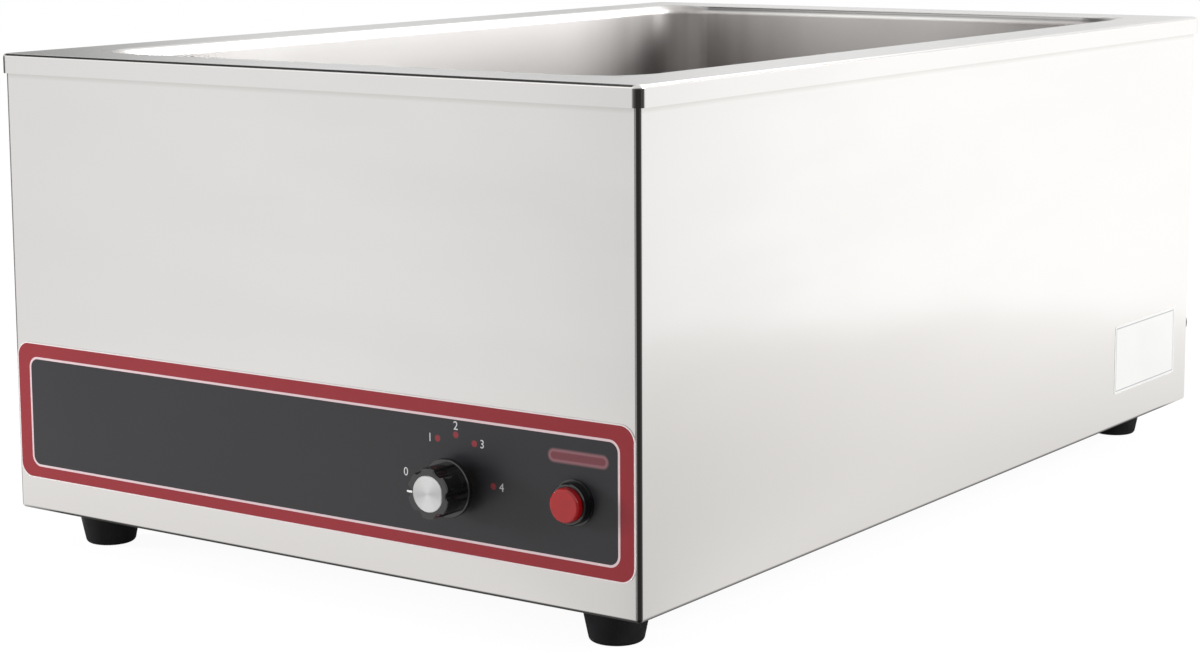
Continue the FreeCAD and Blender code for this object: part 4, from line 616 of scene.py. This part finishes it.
# %% The overlay's inks
def make_overlay_print():
    material, tree, sockets = new_finish("overlay_print", Coat_Weight=0.12, Coat_Roughness=0.2)

    def shape(x, z, half_width, half_height, corner):
        return use(tree, rounded_field, Middle=(x, 0.0, z), Half_Width=half_width,
                   Half_Height=half_height, Corner=corner)["Distance"]

    def lay(under, distance, ink, reach=0.0, edge=0.04 * mm):
        """Prints ink over what is under it, out to that reach from a shape."""
        share = remap(tree, distance, reach - edge, reach + edge, 1.0, 0.0)
        return blend_colours(tree, share, under, ink)

    marks = use(tree, mottling, Cloud_Size=0.09, Grain_Size=0.0005)
    red = blend_colours(tree, marks["Clouds"], colour(130, 22, 32), colour(144, 32, 42))
    dark = blend_colours(tree, marks["Clouds"], colour(32, 32, 36), colour(38, 38, 41))
    size = (overlay_high - overlay_low) / 2
    whole = shape(overlay_middle.x, overlay_middle.z, size.x, size.z, OVERLAY_CORNER)
    left, right = case_low.x + FIELD_LEFT, case_low.x + FIELD_RIGHT
    low, high = case_low.z + FIELD_LOW, case_low.z + FIELD_HIGH
    field = shape((left + right) / 2, (low + high) / 2, (right - left) / 2, (high - low) / 2,
                  FIELD_CORNER)
    inks = lay(colour(222, 212, 212), whole, red, reach=-RIM)
    inks = lay(inks, field, colour(212, 188, 192), reach=STRIPE / 2)
    inks = lay(inks, field, dark, reach=-STRIPE / 2)
    for turn in DOT_TURNS:
        spot = round_dial(turn, DOT_RING)
        dot = shape(spot.x, spot.z, DOT_RADIUS, DOT_RADIUS, DOT_RADIUS)
        inks = lay(inks, dot, colour(132, 40, 48), edge=0.25 * mm)
    plate = shape(lamp_axis.x + PLATE_OFFSET[0], lamp_axis.z + PLATE_OFFSET[1], *PLATE_HALF,
                  PLATE_HALF[1])
    inks = lay(inks, plate, colour(142, 98, 104), edge=0.7 * mm)
    inks = lay(inks, plate, colour(108, 54, 62), reach=-0.9 * mm, edge=0.5 * mm)
    fill(tree, sockets["Base Color"], inks)
    fill(tree, sockets["Roughness"], remap(tree, marks["Grain"], 0.0, 1.0, 0.4, 0.52))
    set_relief(tree, sockets, calculate(tree, "MULTIPLY", marks["Grain"], FILM_RELIEF))
    return material


dress(make_overlay_print(), "control_overlay")

# %% [markdown]
# ## Numbers on the dial
#
# Words would tie the part to one maker, so plain numbers stand at the stops of the dial.
# A text object is the quick way to get good digits. It is made a mesh first and only then
# moved to its place, so that the finished object sits at the origin like every other one.

# %% Print a number on the overlay
PRINT_THICKNESS = 0.04 * mm
DIGIT_HEIGHT = 3.7 * mm
ink_white = make_moulding("pale_ink", colour(206, 206, 208), colour(190, 190, 193), 0.45)


def finished(name, mesh, material, body="housing"):
    """Makes an object of a mesh, with its finish, and ties it to a body of the CAD model."""
    mesh.name = name
    mesh.materials.clear()
    mesh.materials.append(material)
    piece = bpy.data.objects.new(name, mesh)
    bpy.context.scene.collection.objects.link(piece)
    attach(piece, body)
    print(name, "with", len(mesh.polygons), "faces")
    return piece


def plain_mesh(source):
    """The mesh that an object shows, with its modifiers worked in; the object is removed."""
    bpy.context.view_layer.update()
    graph = bpy.context.evaluated_depsgraph_get()
    mesh = bpy.data.meshes.new_from_object(source.evaluated_get(graph), depsgraph=graph)
    bpy.data.objects.remove(source)
    return mesh


def print_number(digit, x, z):
    """A digit on the overlay, centred on x and z and just proud of the film."""
    text = bpy.data.curves.new(f"digit_{digit}", "FONT")
    text.body = str(digit)
    text.align_x, text.align_y = "CENTER", "CENTER"
    text.size = 1.0
    text.extrude = 0.5
    source = bpy.data.objects.new(f"digit_{digit}", text)
    bpy.context.scene.collection.objects.link(source)
    mesh = plain_mesh(source)
    low = Vector(min(v.co[i] for v in mesh.vertices) for i in range(3))
    high = Vector(max(v.co[i] for v in mesh.vertices) for i in range(3))
    scale = DIGIT_HEIGHT / (high.y - low.y)
    middle = (low + high) / 2
    upright = Matrix.Rotation(math.radians(90), 4, "X")
    shrink = Matrix.Diagonal((scale, scale, PRINT_THICKNESS, 1))
    place = Matrix.Translation((x, overlay_face - PRINT_THICKNESS / 2, z))
    mesh.transform(place @ upright @ shrink @ Matrix.Translation(-middle))
    return finished(f"dial_number_{digit}", mesh, ink_white)


number_places = {
    0: knob_axis + Vector((-28.0 * mm, 0, 2.6 * mm)),
    1: round_dial(-30, DOT_RING) + Vector((-4.2 * mm, 0, 0.1 * mm)),
    2: round_dial(0, DOT_RING) + Vector((0, 0, 4.1 * mm)),
    3: round_dial(30, DOT_RING) + Vector((4.2 * mm, 0, 0.3 * mm)),
    4: round_dial(90, DOT_RING) + Vector((4.4 * mm, 0, 0.1 * mm)),
}
for digit, spot in number_places.items():
    print_number(digit, spot.x, spot.z)
print(len(number_places), "numbers on the dial")

# %% [markdown]
# ## The pointer on the knob
#
# The knob has a moulded rib in one flute. Its top and its front edge are filled with white
# paint, which has to turn with the knob, so this piece rides on the knob's body.

# %% Paint the rib
PAINT = 0.05 * mm
RIB_REACH, RIB_START, RIB_WIDTH = 11.1 * mm, 8.2 * mm, 0.9 * mm


def box_mesh(name, low, high, bevel=0.0):
    """A box from its lowest to its highest corner, with its edges bevelled."""
    mesh = bpy.data.meshes.new(name)
    shape = bmesh.new()
    bmesh.ops.create_cube(shape, size=1.0)
    size = Vector(high) - Vector(low)
    bmesh.ops.scale(shape, vec=size, verts=shape.verts)
    bmesh.ops.translate(shape, vec=(Vector(low) + Vector(high)) / 2, verts=shape.verts)
    if bevel:
        bmesh.ops.bevel(shape, geom=shape.edges[:], offset=bevel, segments=2, affect="EDGES")
    shape.to_mesh(mesh)
    shape.free()
    return mesh


white_paint = make_moulding("white_paint", colour(238, 238, 236), colour(226, 226, 224), 0.4)
rib_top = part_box("control_knob")[0].y
line = box_mesh("pointer_line",
                (knob_axis.x - RIB_REACH, rib_top - PAINT, knob_axis.z - RIB_WIDTH / 2),
                (knob_axis.x - RIB_START, rib_top, knob_axis.z + RIB_WIDTH / 2), bevel=0.02 * mm)
finished("pointer_line", line, white_paint, body="knob")

# %% [markdown]
# ## The sticker on the side
#
# A small vinyl sticker sits low at the rear end of the right side. It is left plain: a
# white film with round corners and one thin grey line printed round it.

# %% Plain sticker
STICKER_Y = (468.6 * mm, 550.5 * mm)
STICKER_Z = (19.2 * mm, 57.5 * mm)
STICKER_THICKNESS = 0.15 * mm
STICKER_CORNER = 1.2 * mm
STICKER_LINE_INSET = 1.6 * mm
VINYL_RELIEF = 0.003 * mm


def rounded_plate(name, low, high, corner, steps=6):
    """A thin plate that faces +X, with round corners."""
    mesh = bpy.data.meshes.new(name)
    shape = bmesh.new()
    rim = []
    left, right, bottom, top = low.y + corner, high.y - corner, low.z + corner, high.z - corner
    middles = [(right, top), (left, top), (left, bottom), (right, bottom)]
    for quarter, (y, z) in enumerate(middles):
        for step in range(steps + 1):
            angle = math.pi / 2 * (quarter + step / steps)
            rim.append(shape.verts.new((low.x, y + corner * math.cos(angle),
                                        z + corner * math.sin(angle))))
    face = shape.faces.new(rim)
    grown = bmesh.ops.extrude_face_region(shape, geom=[face])["geom"]
    moved = [item for item in grown if isinstance(item, bmesh.types.BMVert)]
    bmesh.ops.translate(shape, vec=(high.x - low.x, 0, 0), verts=moved)
    bmesh.ops.recalc_face_normals(shape, faces=shape.faces)
    shape.to_mesh(mesh)
    shape.free()
    return mesh


def make_vinyl():
    """White film with one thin grey line printed round it."""
    material, tree, sockets = new_finish("white_vinyl")
    marks = use(tree, mottling, Cloud_Size=0.03, Grain_Size=0.0006)
    white = blend_colours(tree, marks["Clouds"], colour(236, 236, 234), colour(228, 228, 226))
    size = (sticker_high - sticker_low) / 2
    edge = use(tree, rounded_field, Middle=tuple(sticker_middle),
               Across=(0.0, 1.0, 0.0), Half_Width=size.y, Half_Height=size.z,
               Corner=STICKER_CORNER)["Distance"]
    from_line = calculate(tree, "ABSOLUTE", calculate(tree, "ADD", edge, STICKER_LINE_INSET))
    line = remap(tree, from_line, 0.15 * mm, 0.3 * mm, 1.0, 0.0)
    fill(tree, sockets["Base Color"], blend_colours(tree, line, white, colour(150, 150, 156)))
    fill(tree, sockets["Roughness"], remap(tree, marks["Grain"], 0.0, 1.0, 0.38, 0.48))
    set_relief(tree, sockets, calculate(tree, "MULTIPLY", marks["Grain"], VINYL_RELIEF))
    return material


sticker_low = Vector((case_high.x, case_low.y + STICKER_Y[0], case_low.z + STICKER_Z[0]))
sticker_high = Vector((case_high.x + STICKER_THICKNESS, case_low.y + STICKER_Y[1],
                       case_low.z + STICKER_Z[1]))
sticker_middle = (sticker_low + sticker_high) / 2
sticker_mesh = rounded_plate("side_sticker", sticker_low, sticker_high, STICKER_CORNER)
finished("side_sticker", sticker_mesh, make_vinyl())

# %% [markdown]
# ## Screws with a cross recess
#
# The rear panel and the base are held by the same pan-head screws. The CAD model has them
# as plain cylinders, so each is replaced. Geometry Nodes make one screw from a cylinder, a
# ball that rounds its head and two crossed bars that cut the recess, and put a copy, each
# turned by chance, on every place where the CAD model has one.

# %% Find the places of the screws
SCREW_SPREAD = 12 * mm


def screw_places(name, across, out):
    """The middle of each screw of a CAD solid, on the plane at its outer end."""
    found = []
    for vertex in nodes[name].data.vertices:
        spot = [vertex.co[axis] for axis in across]
        near = [points for first, points in found if math.dist(first, spot) < SCREW_SPREAD]
        if near:
            near[0].append(vertex.co.copy())
        else:
            found.append((spot, [vertex.co.copy()]))
    places = []
    for _, points in found:
        low = Vector(min(point[axis] for point in points) for axis in range(3))
        high = Vector(max(point[axis] for point in points) for axis in range(3))
        place = (low + high) / 2
        for axis in range(3):
            if out[axis]:
                place[axis] = high[axis] if out[axis] > 0 else low[axis]
        places.append(place)
    return places


# %% The node tree of a screw
def add_screw_tree():
    """Pan-head screws on the points of a mesh, with named inputs for their sizes."""
    tree = bpy.data.node_groups.new("pan_head_screws", "GeometryNodeTree")
    ports = tree.interface
    ports.new_socket("Geometry", in_out="INPUT", socket_type="NodeSocketGeometry")
    for label, value in (("Head Radius", 3.6 * mm), ("Head Height", 1.6 * mm),
                         ("Dome Radius", 6.5 * mm), ("Shank Radius", 1.65 * mm),
                         ("Shank Length", 7.0 * mm), ("Recess Width", 0.85 * mm),
                         ("Recess Length", 4.2 * mm), ("Recess Depth", 1.1 * mm)):
        socket = ports.new_socket(label, in_out="INPUT", socket_type="NodeSocketFloat")
        socket.default_value = value
    ports.new_socket("Direction", in_out="INPUT", socket_type="NodeSocketVector")
    ports.new_socket("Finish", in_out="INPUT", socket_type="NodeSocketMaterial")
    ports.new_socket("Geometry", in_out="OUTPUT", socket_type="NodeSocketGeometry")
    given = tree.nodes.new("NodeGroupInput").outputs

    def lift(geometry, height):
        offset = add(tree, "ShaderNodeCombineXYZ", {"Z": height}).outputs[0]
        return add(tree, "GeometryNodeTransform",
                   {"Geometry": geometry, "Translation": offset}).outputs[0]

    half = calculate(tree, "MULTIPLY", given["Head Height"], -0.5)
    head = add(tree, "GeometryNodeMeshCylinder", {
        "Vertices": 32, "Radius": given["Head Radius"], "Depth": given["Head Height"]}).outputs[0]
    ball = add(tree, "GeometryNodeMeshUVSphere", {
        "Segments": 32, "Rings": 24, "Radius": given["Dome Radius"]}).outputs[0]
    ball_drop = calculate(tree, "MULTIPLY", given["Dome Radius"], -1.0)
    dome = add(tree, "GeometryNodeMeshBoolean", operation="INTERSECT")
    for part in (lift(head, half), lift(ball, ball_drop)):
        tree.links.new(part, dome.inputs["Mesh 2"])
    bars = []
    for size in (("Recess Length", "Recess Width"), ("Recess Width", "Recess Length")):
        block = add(tree, "ShaderNodeCombineXYZ", {
            "X": given[size[0]], "Y": given[size[1]],
            "Z": calculate(tree, "MULTIPLY", given["Recess Depth"], 2.0)}).outputs[0]
        bars.append(add(tree, "GeometryNodeMeshCube", {"Size": block}).outputs[0])
    recess = add(tree, "GeometryNodeMeshBoolean", {"Mesh 1": dome.outputs[0]},
                 operation="DIFFERENCE")
    for bar in bars:
        tree.links.new(bar, recess.inputs["Mesh 2"])
    shank = add(tree, "GeometryNodeMeshCylinder", {
        "Vertices": 16, "Radius": given["Shank Radius"], "Depth": given["Shank Length"]}).outputs[0]
    shank_middle = calculate(tree, "MULTIPLY", given["Shank Length"], -0.5)
    shank_drop = calculate(tree, "SUBTRACT", shank_middle, given["Head Height"])
    whole = add(tree, "GeometryNodeJoinGeometry")
    for part in (recess.outputs[0], lift(shank, shank_drop)):
        tree.links.new(part, whole.inputs[0])
    # A random number has its least value in socket 2, which is nought, and its most in 3.
    spin = add(tree, "FunctionNodeRandomValue", {"Seed": 7, 3: math.tau}, data_type="FLOAT")
    facing = add(tree, "FunctionNodeAlignRotationToVector", {"Vector": given["Direction"]},
                 axis="Z")
    turn = add(tree, "FunctionNodeAxisAngleToRotation",
               {"Axis": (0, 0, 1), "Angle": spin.outputs[1]})
    rotation = add(tree, "FunctionNodeRotateRotation", {0: facing.outputs[0], 1: turn.outputs[0]},
                   rotation_space="LOCAL")
    copies = add(tree, "GeometryNodeInstanceOnPoints", {
        "Points": given["Geometry"], "Instance": whole.outputs[0], "Rotation": rotation.outputs[0]})
    real = add(tree, "GeometryNodeRealizeInstances", {0: copies.outputs[0]})
    painted = add(tree, "GeometryNodeSetMaterial", {
        "Geometry": real.outputs[0], "Material": given["Finish"]})
    end = tree.nodes.new("NodeGroupOutput")
    tree.links.new(painted.outputs[0], end.inputs[0])
    return tree


screw_tree = add_screw_tree()


# %% Put the screws in
def put_screws(name, across, out):
    """Replaces the screws of a CAD solid by ones with a recess."""
    places = screw_places(name, across, out)
    seed = bpy.data.meshes.new(f"{name}_places")
    seed.from_pydata(places, [], [])
    source = bpy.data.objects.new(f"{name}_source", seed)
    bpy.context.scene.collection.objects.link(source)
    modifier = source.modifiers.new("screws", "NODES")
    modifier.node_group = screw_tree
    for item in screw_tree.interface.items_tree:
        if item.in_out == "INPUT" and item.name == "Direction":
            modifier[item.identifier] = tuple(float(v) for v in out)
        elif item.in_out == "INPUT" and item.name == "Finish":
            modifier[item.identifier] = zinc
    piece = finished(f"{name}_recessed", plain_mesh(source), zinc)
    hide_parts(name)
    print(name, "has", len(places), "screws")


put_screws("rear_panel_screws", (0, 2), Vector((0, 1, 0)))
put_screws("base_screws", (0, 1), Vector((0, 0, -1)))

# %% [markdown]
# ## The studio
#
# Polished metal shows its surroundings more than itself, so the studio is part of the
# finish. It is a white room: the camera sees plain white. What the metal sees is an uneven
# ring of light at the level of the eye, bright behind and at the sides, and dim where the
# camera and the photographer stand. Further rings lie above it, and each blends into the
# next over a band of elevation: a strong lamp at the rear right, a dark screen over the
# left, and an even ceiling. Matt things are lit by an even sky and two soft lamps, so that
# their colours come out as they are written.

# %% Which way a ray goes
FULL_TURN = 360.0


def find_azimuth(tree, parts):
    """The azimuth of a direction, from the front towards the right."""
    return calculate(tree, "ARCTAN2", parts[0], calculate(tree, "MULTIPLY", parts[1], -1.0))


def ring_ramp(tree, azimuth, stops):
    """Light by azimuth. A stop's azimuth is in degrees, from the front towards the right."""
    share = remap(tree, azimuth, -math.pi, math.pi)
    return ramp(tree, share, [(angle / FULL_TURN + 0.5, level) for angle, level in stops])


LEVEL_RING = [
    (-180, 1.1), (-154.5, 0.77), (-151.5, 0.83), (-148, 0.84), (-146, 0.71), (-144.5, 0.62),
    (-142.5, 0.7), (-138, 0.74), (-135.8, 0.6), (-134, 0.4), (-122, 0.1), (-100, 0.5), (-80, 0.5),
    (-64, 0.1), (-60, 0.86), (-48, 0.88), (-41, 0.95), (-34, 0.84), (-28, 0.6),
    (-21, 0.22), (-12, 0.2), (-10, 0.5), (10, 0.5), (12, 0.2), (78, 0.2), (80, 0.5), (100, 0.5),
    (107, 0.22), (112, 0.9), (145, 0.95), (149, 1.26), (180, 1.16),
]
UPPER_RING = [
    (-180, 1.0), (-150, 0.9), (-100, 0.6), (-60, 0.9), (-30, 1.5), (0, 1.2), (60, 0.7), (100, 1.4),
    (112, 18.0), (137, 18.0), (144, 1.0), (180, 1.0),
]
HIGH_RING = [
    (-180, 2.6), (-168, 2.6), (-152, 0.9), (-136, 0.8), (-128, 0.04), (-48, 0.04), (-40, 0.8),
    (100, 0.9), (112, 2.6), (180, 2.6),
]
TOP_RING = [(-180, 0.8), (180, 0.8)]
BANDS = [((10, 18), UPPER_RING), ((27, 35), HIGH_RING), ((54, 66), TOP_RING)]


def studio_light(tree, direction):
    """The light that polished metal sees from a direction, band over band up to the top."""
    parts = add(tree, "ShaderNodeSeparateXYZ", {0: direction}).outputs
    azimuth = find_azimuth(tree, parts)
    light = ring_ramp(tree, azimuth, LEVEL_RING)
    for angles, stops in BANDS:
        start, full = (math.sin(math.radians(angle)) for angle in angles)
        rise = remap(tree, parts[2], start, full, soft=True)
        light = blend_colours(tree, rise, light, ring_ramp(tree, azimuth, stops))
    return light


# %% The world
SKY_LEVEL = 0.5
world = bpy.data.worlds.new("studio")
bpy.context.scene.world = world
world.use_nodes = True
tree = world.node_tree
background = tree.nodes["Background"]
rays = add(tree, "ShaderNodeLightPath").outputs
direction = add(tree, "ShaderNodeTexCoord").outputs["Generated"]
seen = calculate(tree, "MAXIMUM", rays["Is Camera Ray"], rays["Is Transmission Ray"])
plain = blend_colours(tree, seen, (SKY_LEVEL, SKY_LEVEL, SKY_LEVEL, 1), (1, 1, 1, 1))
tree.links.new(
    blend_colours(tree, rays["Is Glossy Ray"], plain, studio_light(tree, direction)),
    background.inputs["Color"])
print("world:", len(tree.nodes), "nodes, with", len(BANDS), "bands over the lowest ring")

# %% [markdown]
# ## The floor
#
# The floor is one pale disc. To the camera it is white, with a trace of the object's
# shadow left in it. To the metal it glows as a table top with painted shade: a painted
# shadow where it meets the casing, darker in front than beside it, light grey further out,
# a painted shade again where the camera stands, and ending in the white room, which leaves
# a soft horizon on the sides of the casing.

# %% Floor
FLOOR_RADIUS = 9.0
CONTACT_SHADOW_FRONT, CONTACT_SHADOW_SIDE = 0.06, 0.3
CONTACT_START, CONTACT_END = 8 * mm, 34 * mm
SIDE_BLEND = 5 * mm
NEAR_TONE, FAR_TONE = 0.84, 1.0
NEAR_END, FADE_START, FADE_END = 0.3, 0.68, 0.8
FLOOR_TINT = (1, 0.993, 0.982, 1)
WHITE_STRENGTH = 1.08
SHADOW_SHARE = 0.12
FLOOR_RING = [
    (-180, 1.0), (-62, 1.0), (-50, 0.9), (-44, 0.88), (-36, 0.84), (-30, 0.7), (-22, 0.22),
    (-12, 0.2), (-10, 0.45), (10, 0.45), (12, 0.2), (78, 0.2), (80, 0.45), (100, 0.45),
    (104, 0.22), (112, 0.85), (146, 0.88), (158, 1.0), (166, 1.06), (180, 1.0),
]


def mirrored_floor(tree, place):
    """The light that metal sees in the floor, with its painted shadows, by the place on the floor.
    """
    away = add(tree, "ShaderNodeVectorMath", {0: place}, operation="LENGTH").outputs["Value"]
    tone = remap(tree, away, NEAR_END, FADE_START, NEAR_TONE, FAR_TONE)
    beyond = beyond_shaft(tree, case_high.x, case_high.y)
    farthest = calculate(tree, "MAXIMUM", beyond[0], beyond[1])
    contact = remap(tree, farthest, CONTACT_START, CONTACT_END, soft=True)
    beside = remap(tree, beyond[0], -SIDE_BLEND, SIDE_BLEND)
    # Painted shadow of the casing on the floor, darker in front than beside it.
    tone = blend(tree, contact, blend(tree, beside, CONTACT_SHADOW_FRONT, CONTACT_SHADOW_SIDE), tone)
    offset = add(tree, "ShaderNodeVectorMath", {0: place, 1: (case_high.x, case_low.y, 0)},
                 operation="SUBTRACT").outputs[0]
    parts = add(tree, "ShaderNodeSeparateXYZ", {0: offset}).outputs
    # Painted shade where the camera and the photographer stand.
    painted_camera_shade = ring_ramp(tree, find_azimuth(tree, parts), FLOOR_RING)
    level = calculate(tree, "MULTIPLY", tone, painted_camera_shade)
    return level, remap(tree, away, FADE_START, FADE_END, soft=True)


def make_floor():
    mesh = bpy.data.meshes.new("floor")
    shape = bmesh.new()
    bmesh.ops.create_circle(shape, cap_ends=True, segments=96, radius=FLOOR_RADIUS)
    shape.to_mesh(mesh)
    shape.free()
    floor = bpy.data.objects.new("floor", mesh)
    bpy.context.scene.collection.objects.link(floor)
    material = bpy.data.materials.new("pale_floor")
    material.use_nodes = True
    tree = material.node_tree
    tree.nodes.remove(tree.nodes["Principled BSDF"])
    rays = add(tree, "ShaderNodeLightPath").outputs
    matt = add(tree, "ShaderNodeBsdfDiffuse", {"Color": (0.8, 0.8, 0.8, 1)}).outputs[0]
    white = add(tree, "ShaderNodeEmission", {"Strength": WHITE_STRENGTH}).outputs[0]
    level, fade = mirrored_floor(tree, object_place(tree))
    grey = add(tree, "ShaderNodeEmission", {"Color": FLOOR_TINT, "Strength": level}).outputs[0]
    clear = add(tree, "ShaderNodeBsdfTransparent").outputs[0]

    def mix(share, low, high):
        return add(tree, "ShaderNodeMixShader", {0: share, 1: low, 2: high}).outputs[0]

    shader = mix(rays["Is Camera Ray"], matt, mix(SHADOW_SHARE, white, matt))
    shader = mix(rays["Is Glossy Ray"], shader, mix(fade, grey, clear))
    tree.links.new(shader, tree.nodes["Material Output"].inputs["Surface"])
    mesh.materials.append(material)
    floor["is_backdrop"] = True
    print("floor", 2 * FLOOR_RADIUS, "m across")


make_floor()

# %% The soft lamps
def add_lamp(name, place, target, size, power):
    """A round soft lamp that lights matt things and leaves no spot on polished ones."""
    data = bpy.data.lights.new(name, "AREA")
    data.shape = "DISK"
    data.size = size
    data.energy = power
    lamp = bpy.data.objects.new(name, data)
    bpy.context.scene.collection.objects.link(lamp)
    lamp.location = place
    lamp.rotation_euler = (Vector(target) - Vector(place)).to_track_quat("-Z", "Y").to_euler()
    lamp.visible_glossy = False
    lamp.visible_camera = False
    print(name, power, "W")


add_lamp("front_lamp", (-1.5, -1.0, 0.3), target=knob_axis, size=0.45, power=34.0)
add_lamp("side_lamp", (1.6, 0.3, 0.9), target=(0.19, 0.22, 0.06), size=0.6, power=16.0)

# %% [markdown]
# ## The camera
#
# A long lens a little above the deck looks down by eight degrees, from thirty-five degrees
# to the right of the front. A small shift moves the picture and leaves the direction of
# view alone, so the upright edges stay nearly parallel, as in a view camera.

# %% Camera
CAMERA_PLACE = (0.78118, -1.16242, 0.32733)
CAMERA_TURN = (81.7453, 0.3564, 35.3688)
CAMERA_LENS = 79.2634
CAMERA_SHIFT = (0.01316, -0.06)
camera_data = bpy.data.cameras.new("camera")
camera_data.lens = CAMERA_LENS
camera_data.shift_x, camera_data.shift_y = CAMERA_SHIFT
camera = bpy.data.objects.new("camera", camera_data)
bpy.context.scene.collection.objects.link(camera)
camera.location = CAMERA_PLACE
camera.rotation_euler = [math.radians(angle) for angle in CAMERA_TURN]
bpy.context.scene.camera = camera
bpy.context.scene.view_settings.view_transform = "Standard"
print("camera of", CAMERA_LENS, "mm,", round(camera.location.length, 2), "m from the middle")

# %% [markdown]
# ## Compare the sizes
#
# The looks must not change the object's size, so the box of the dressed object is compared
# with the CAD model's, and the growth is printed.

# %% Compare the sizes
visual_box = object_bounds()
growth = (visual_box[1] - visual_box[0]) - (cad_box[1] - cad_box[0])
print("grown by", [round(step / mm, 2) for step in growth], "mm")
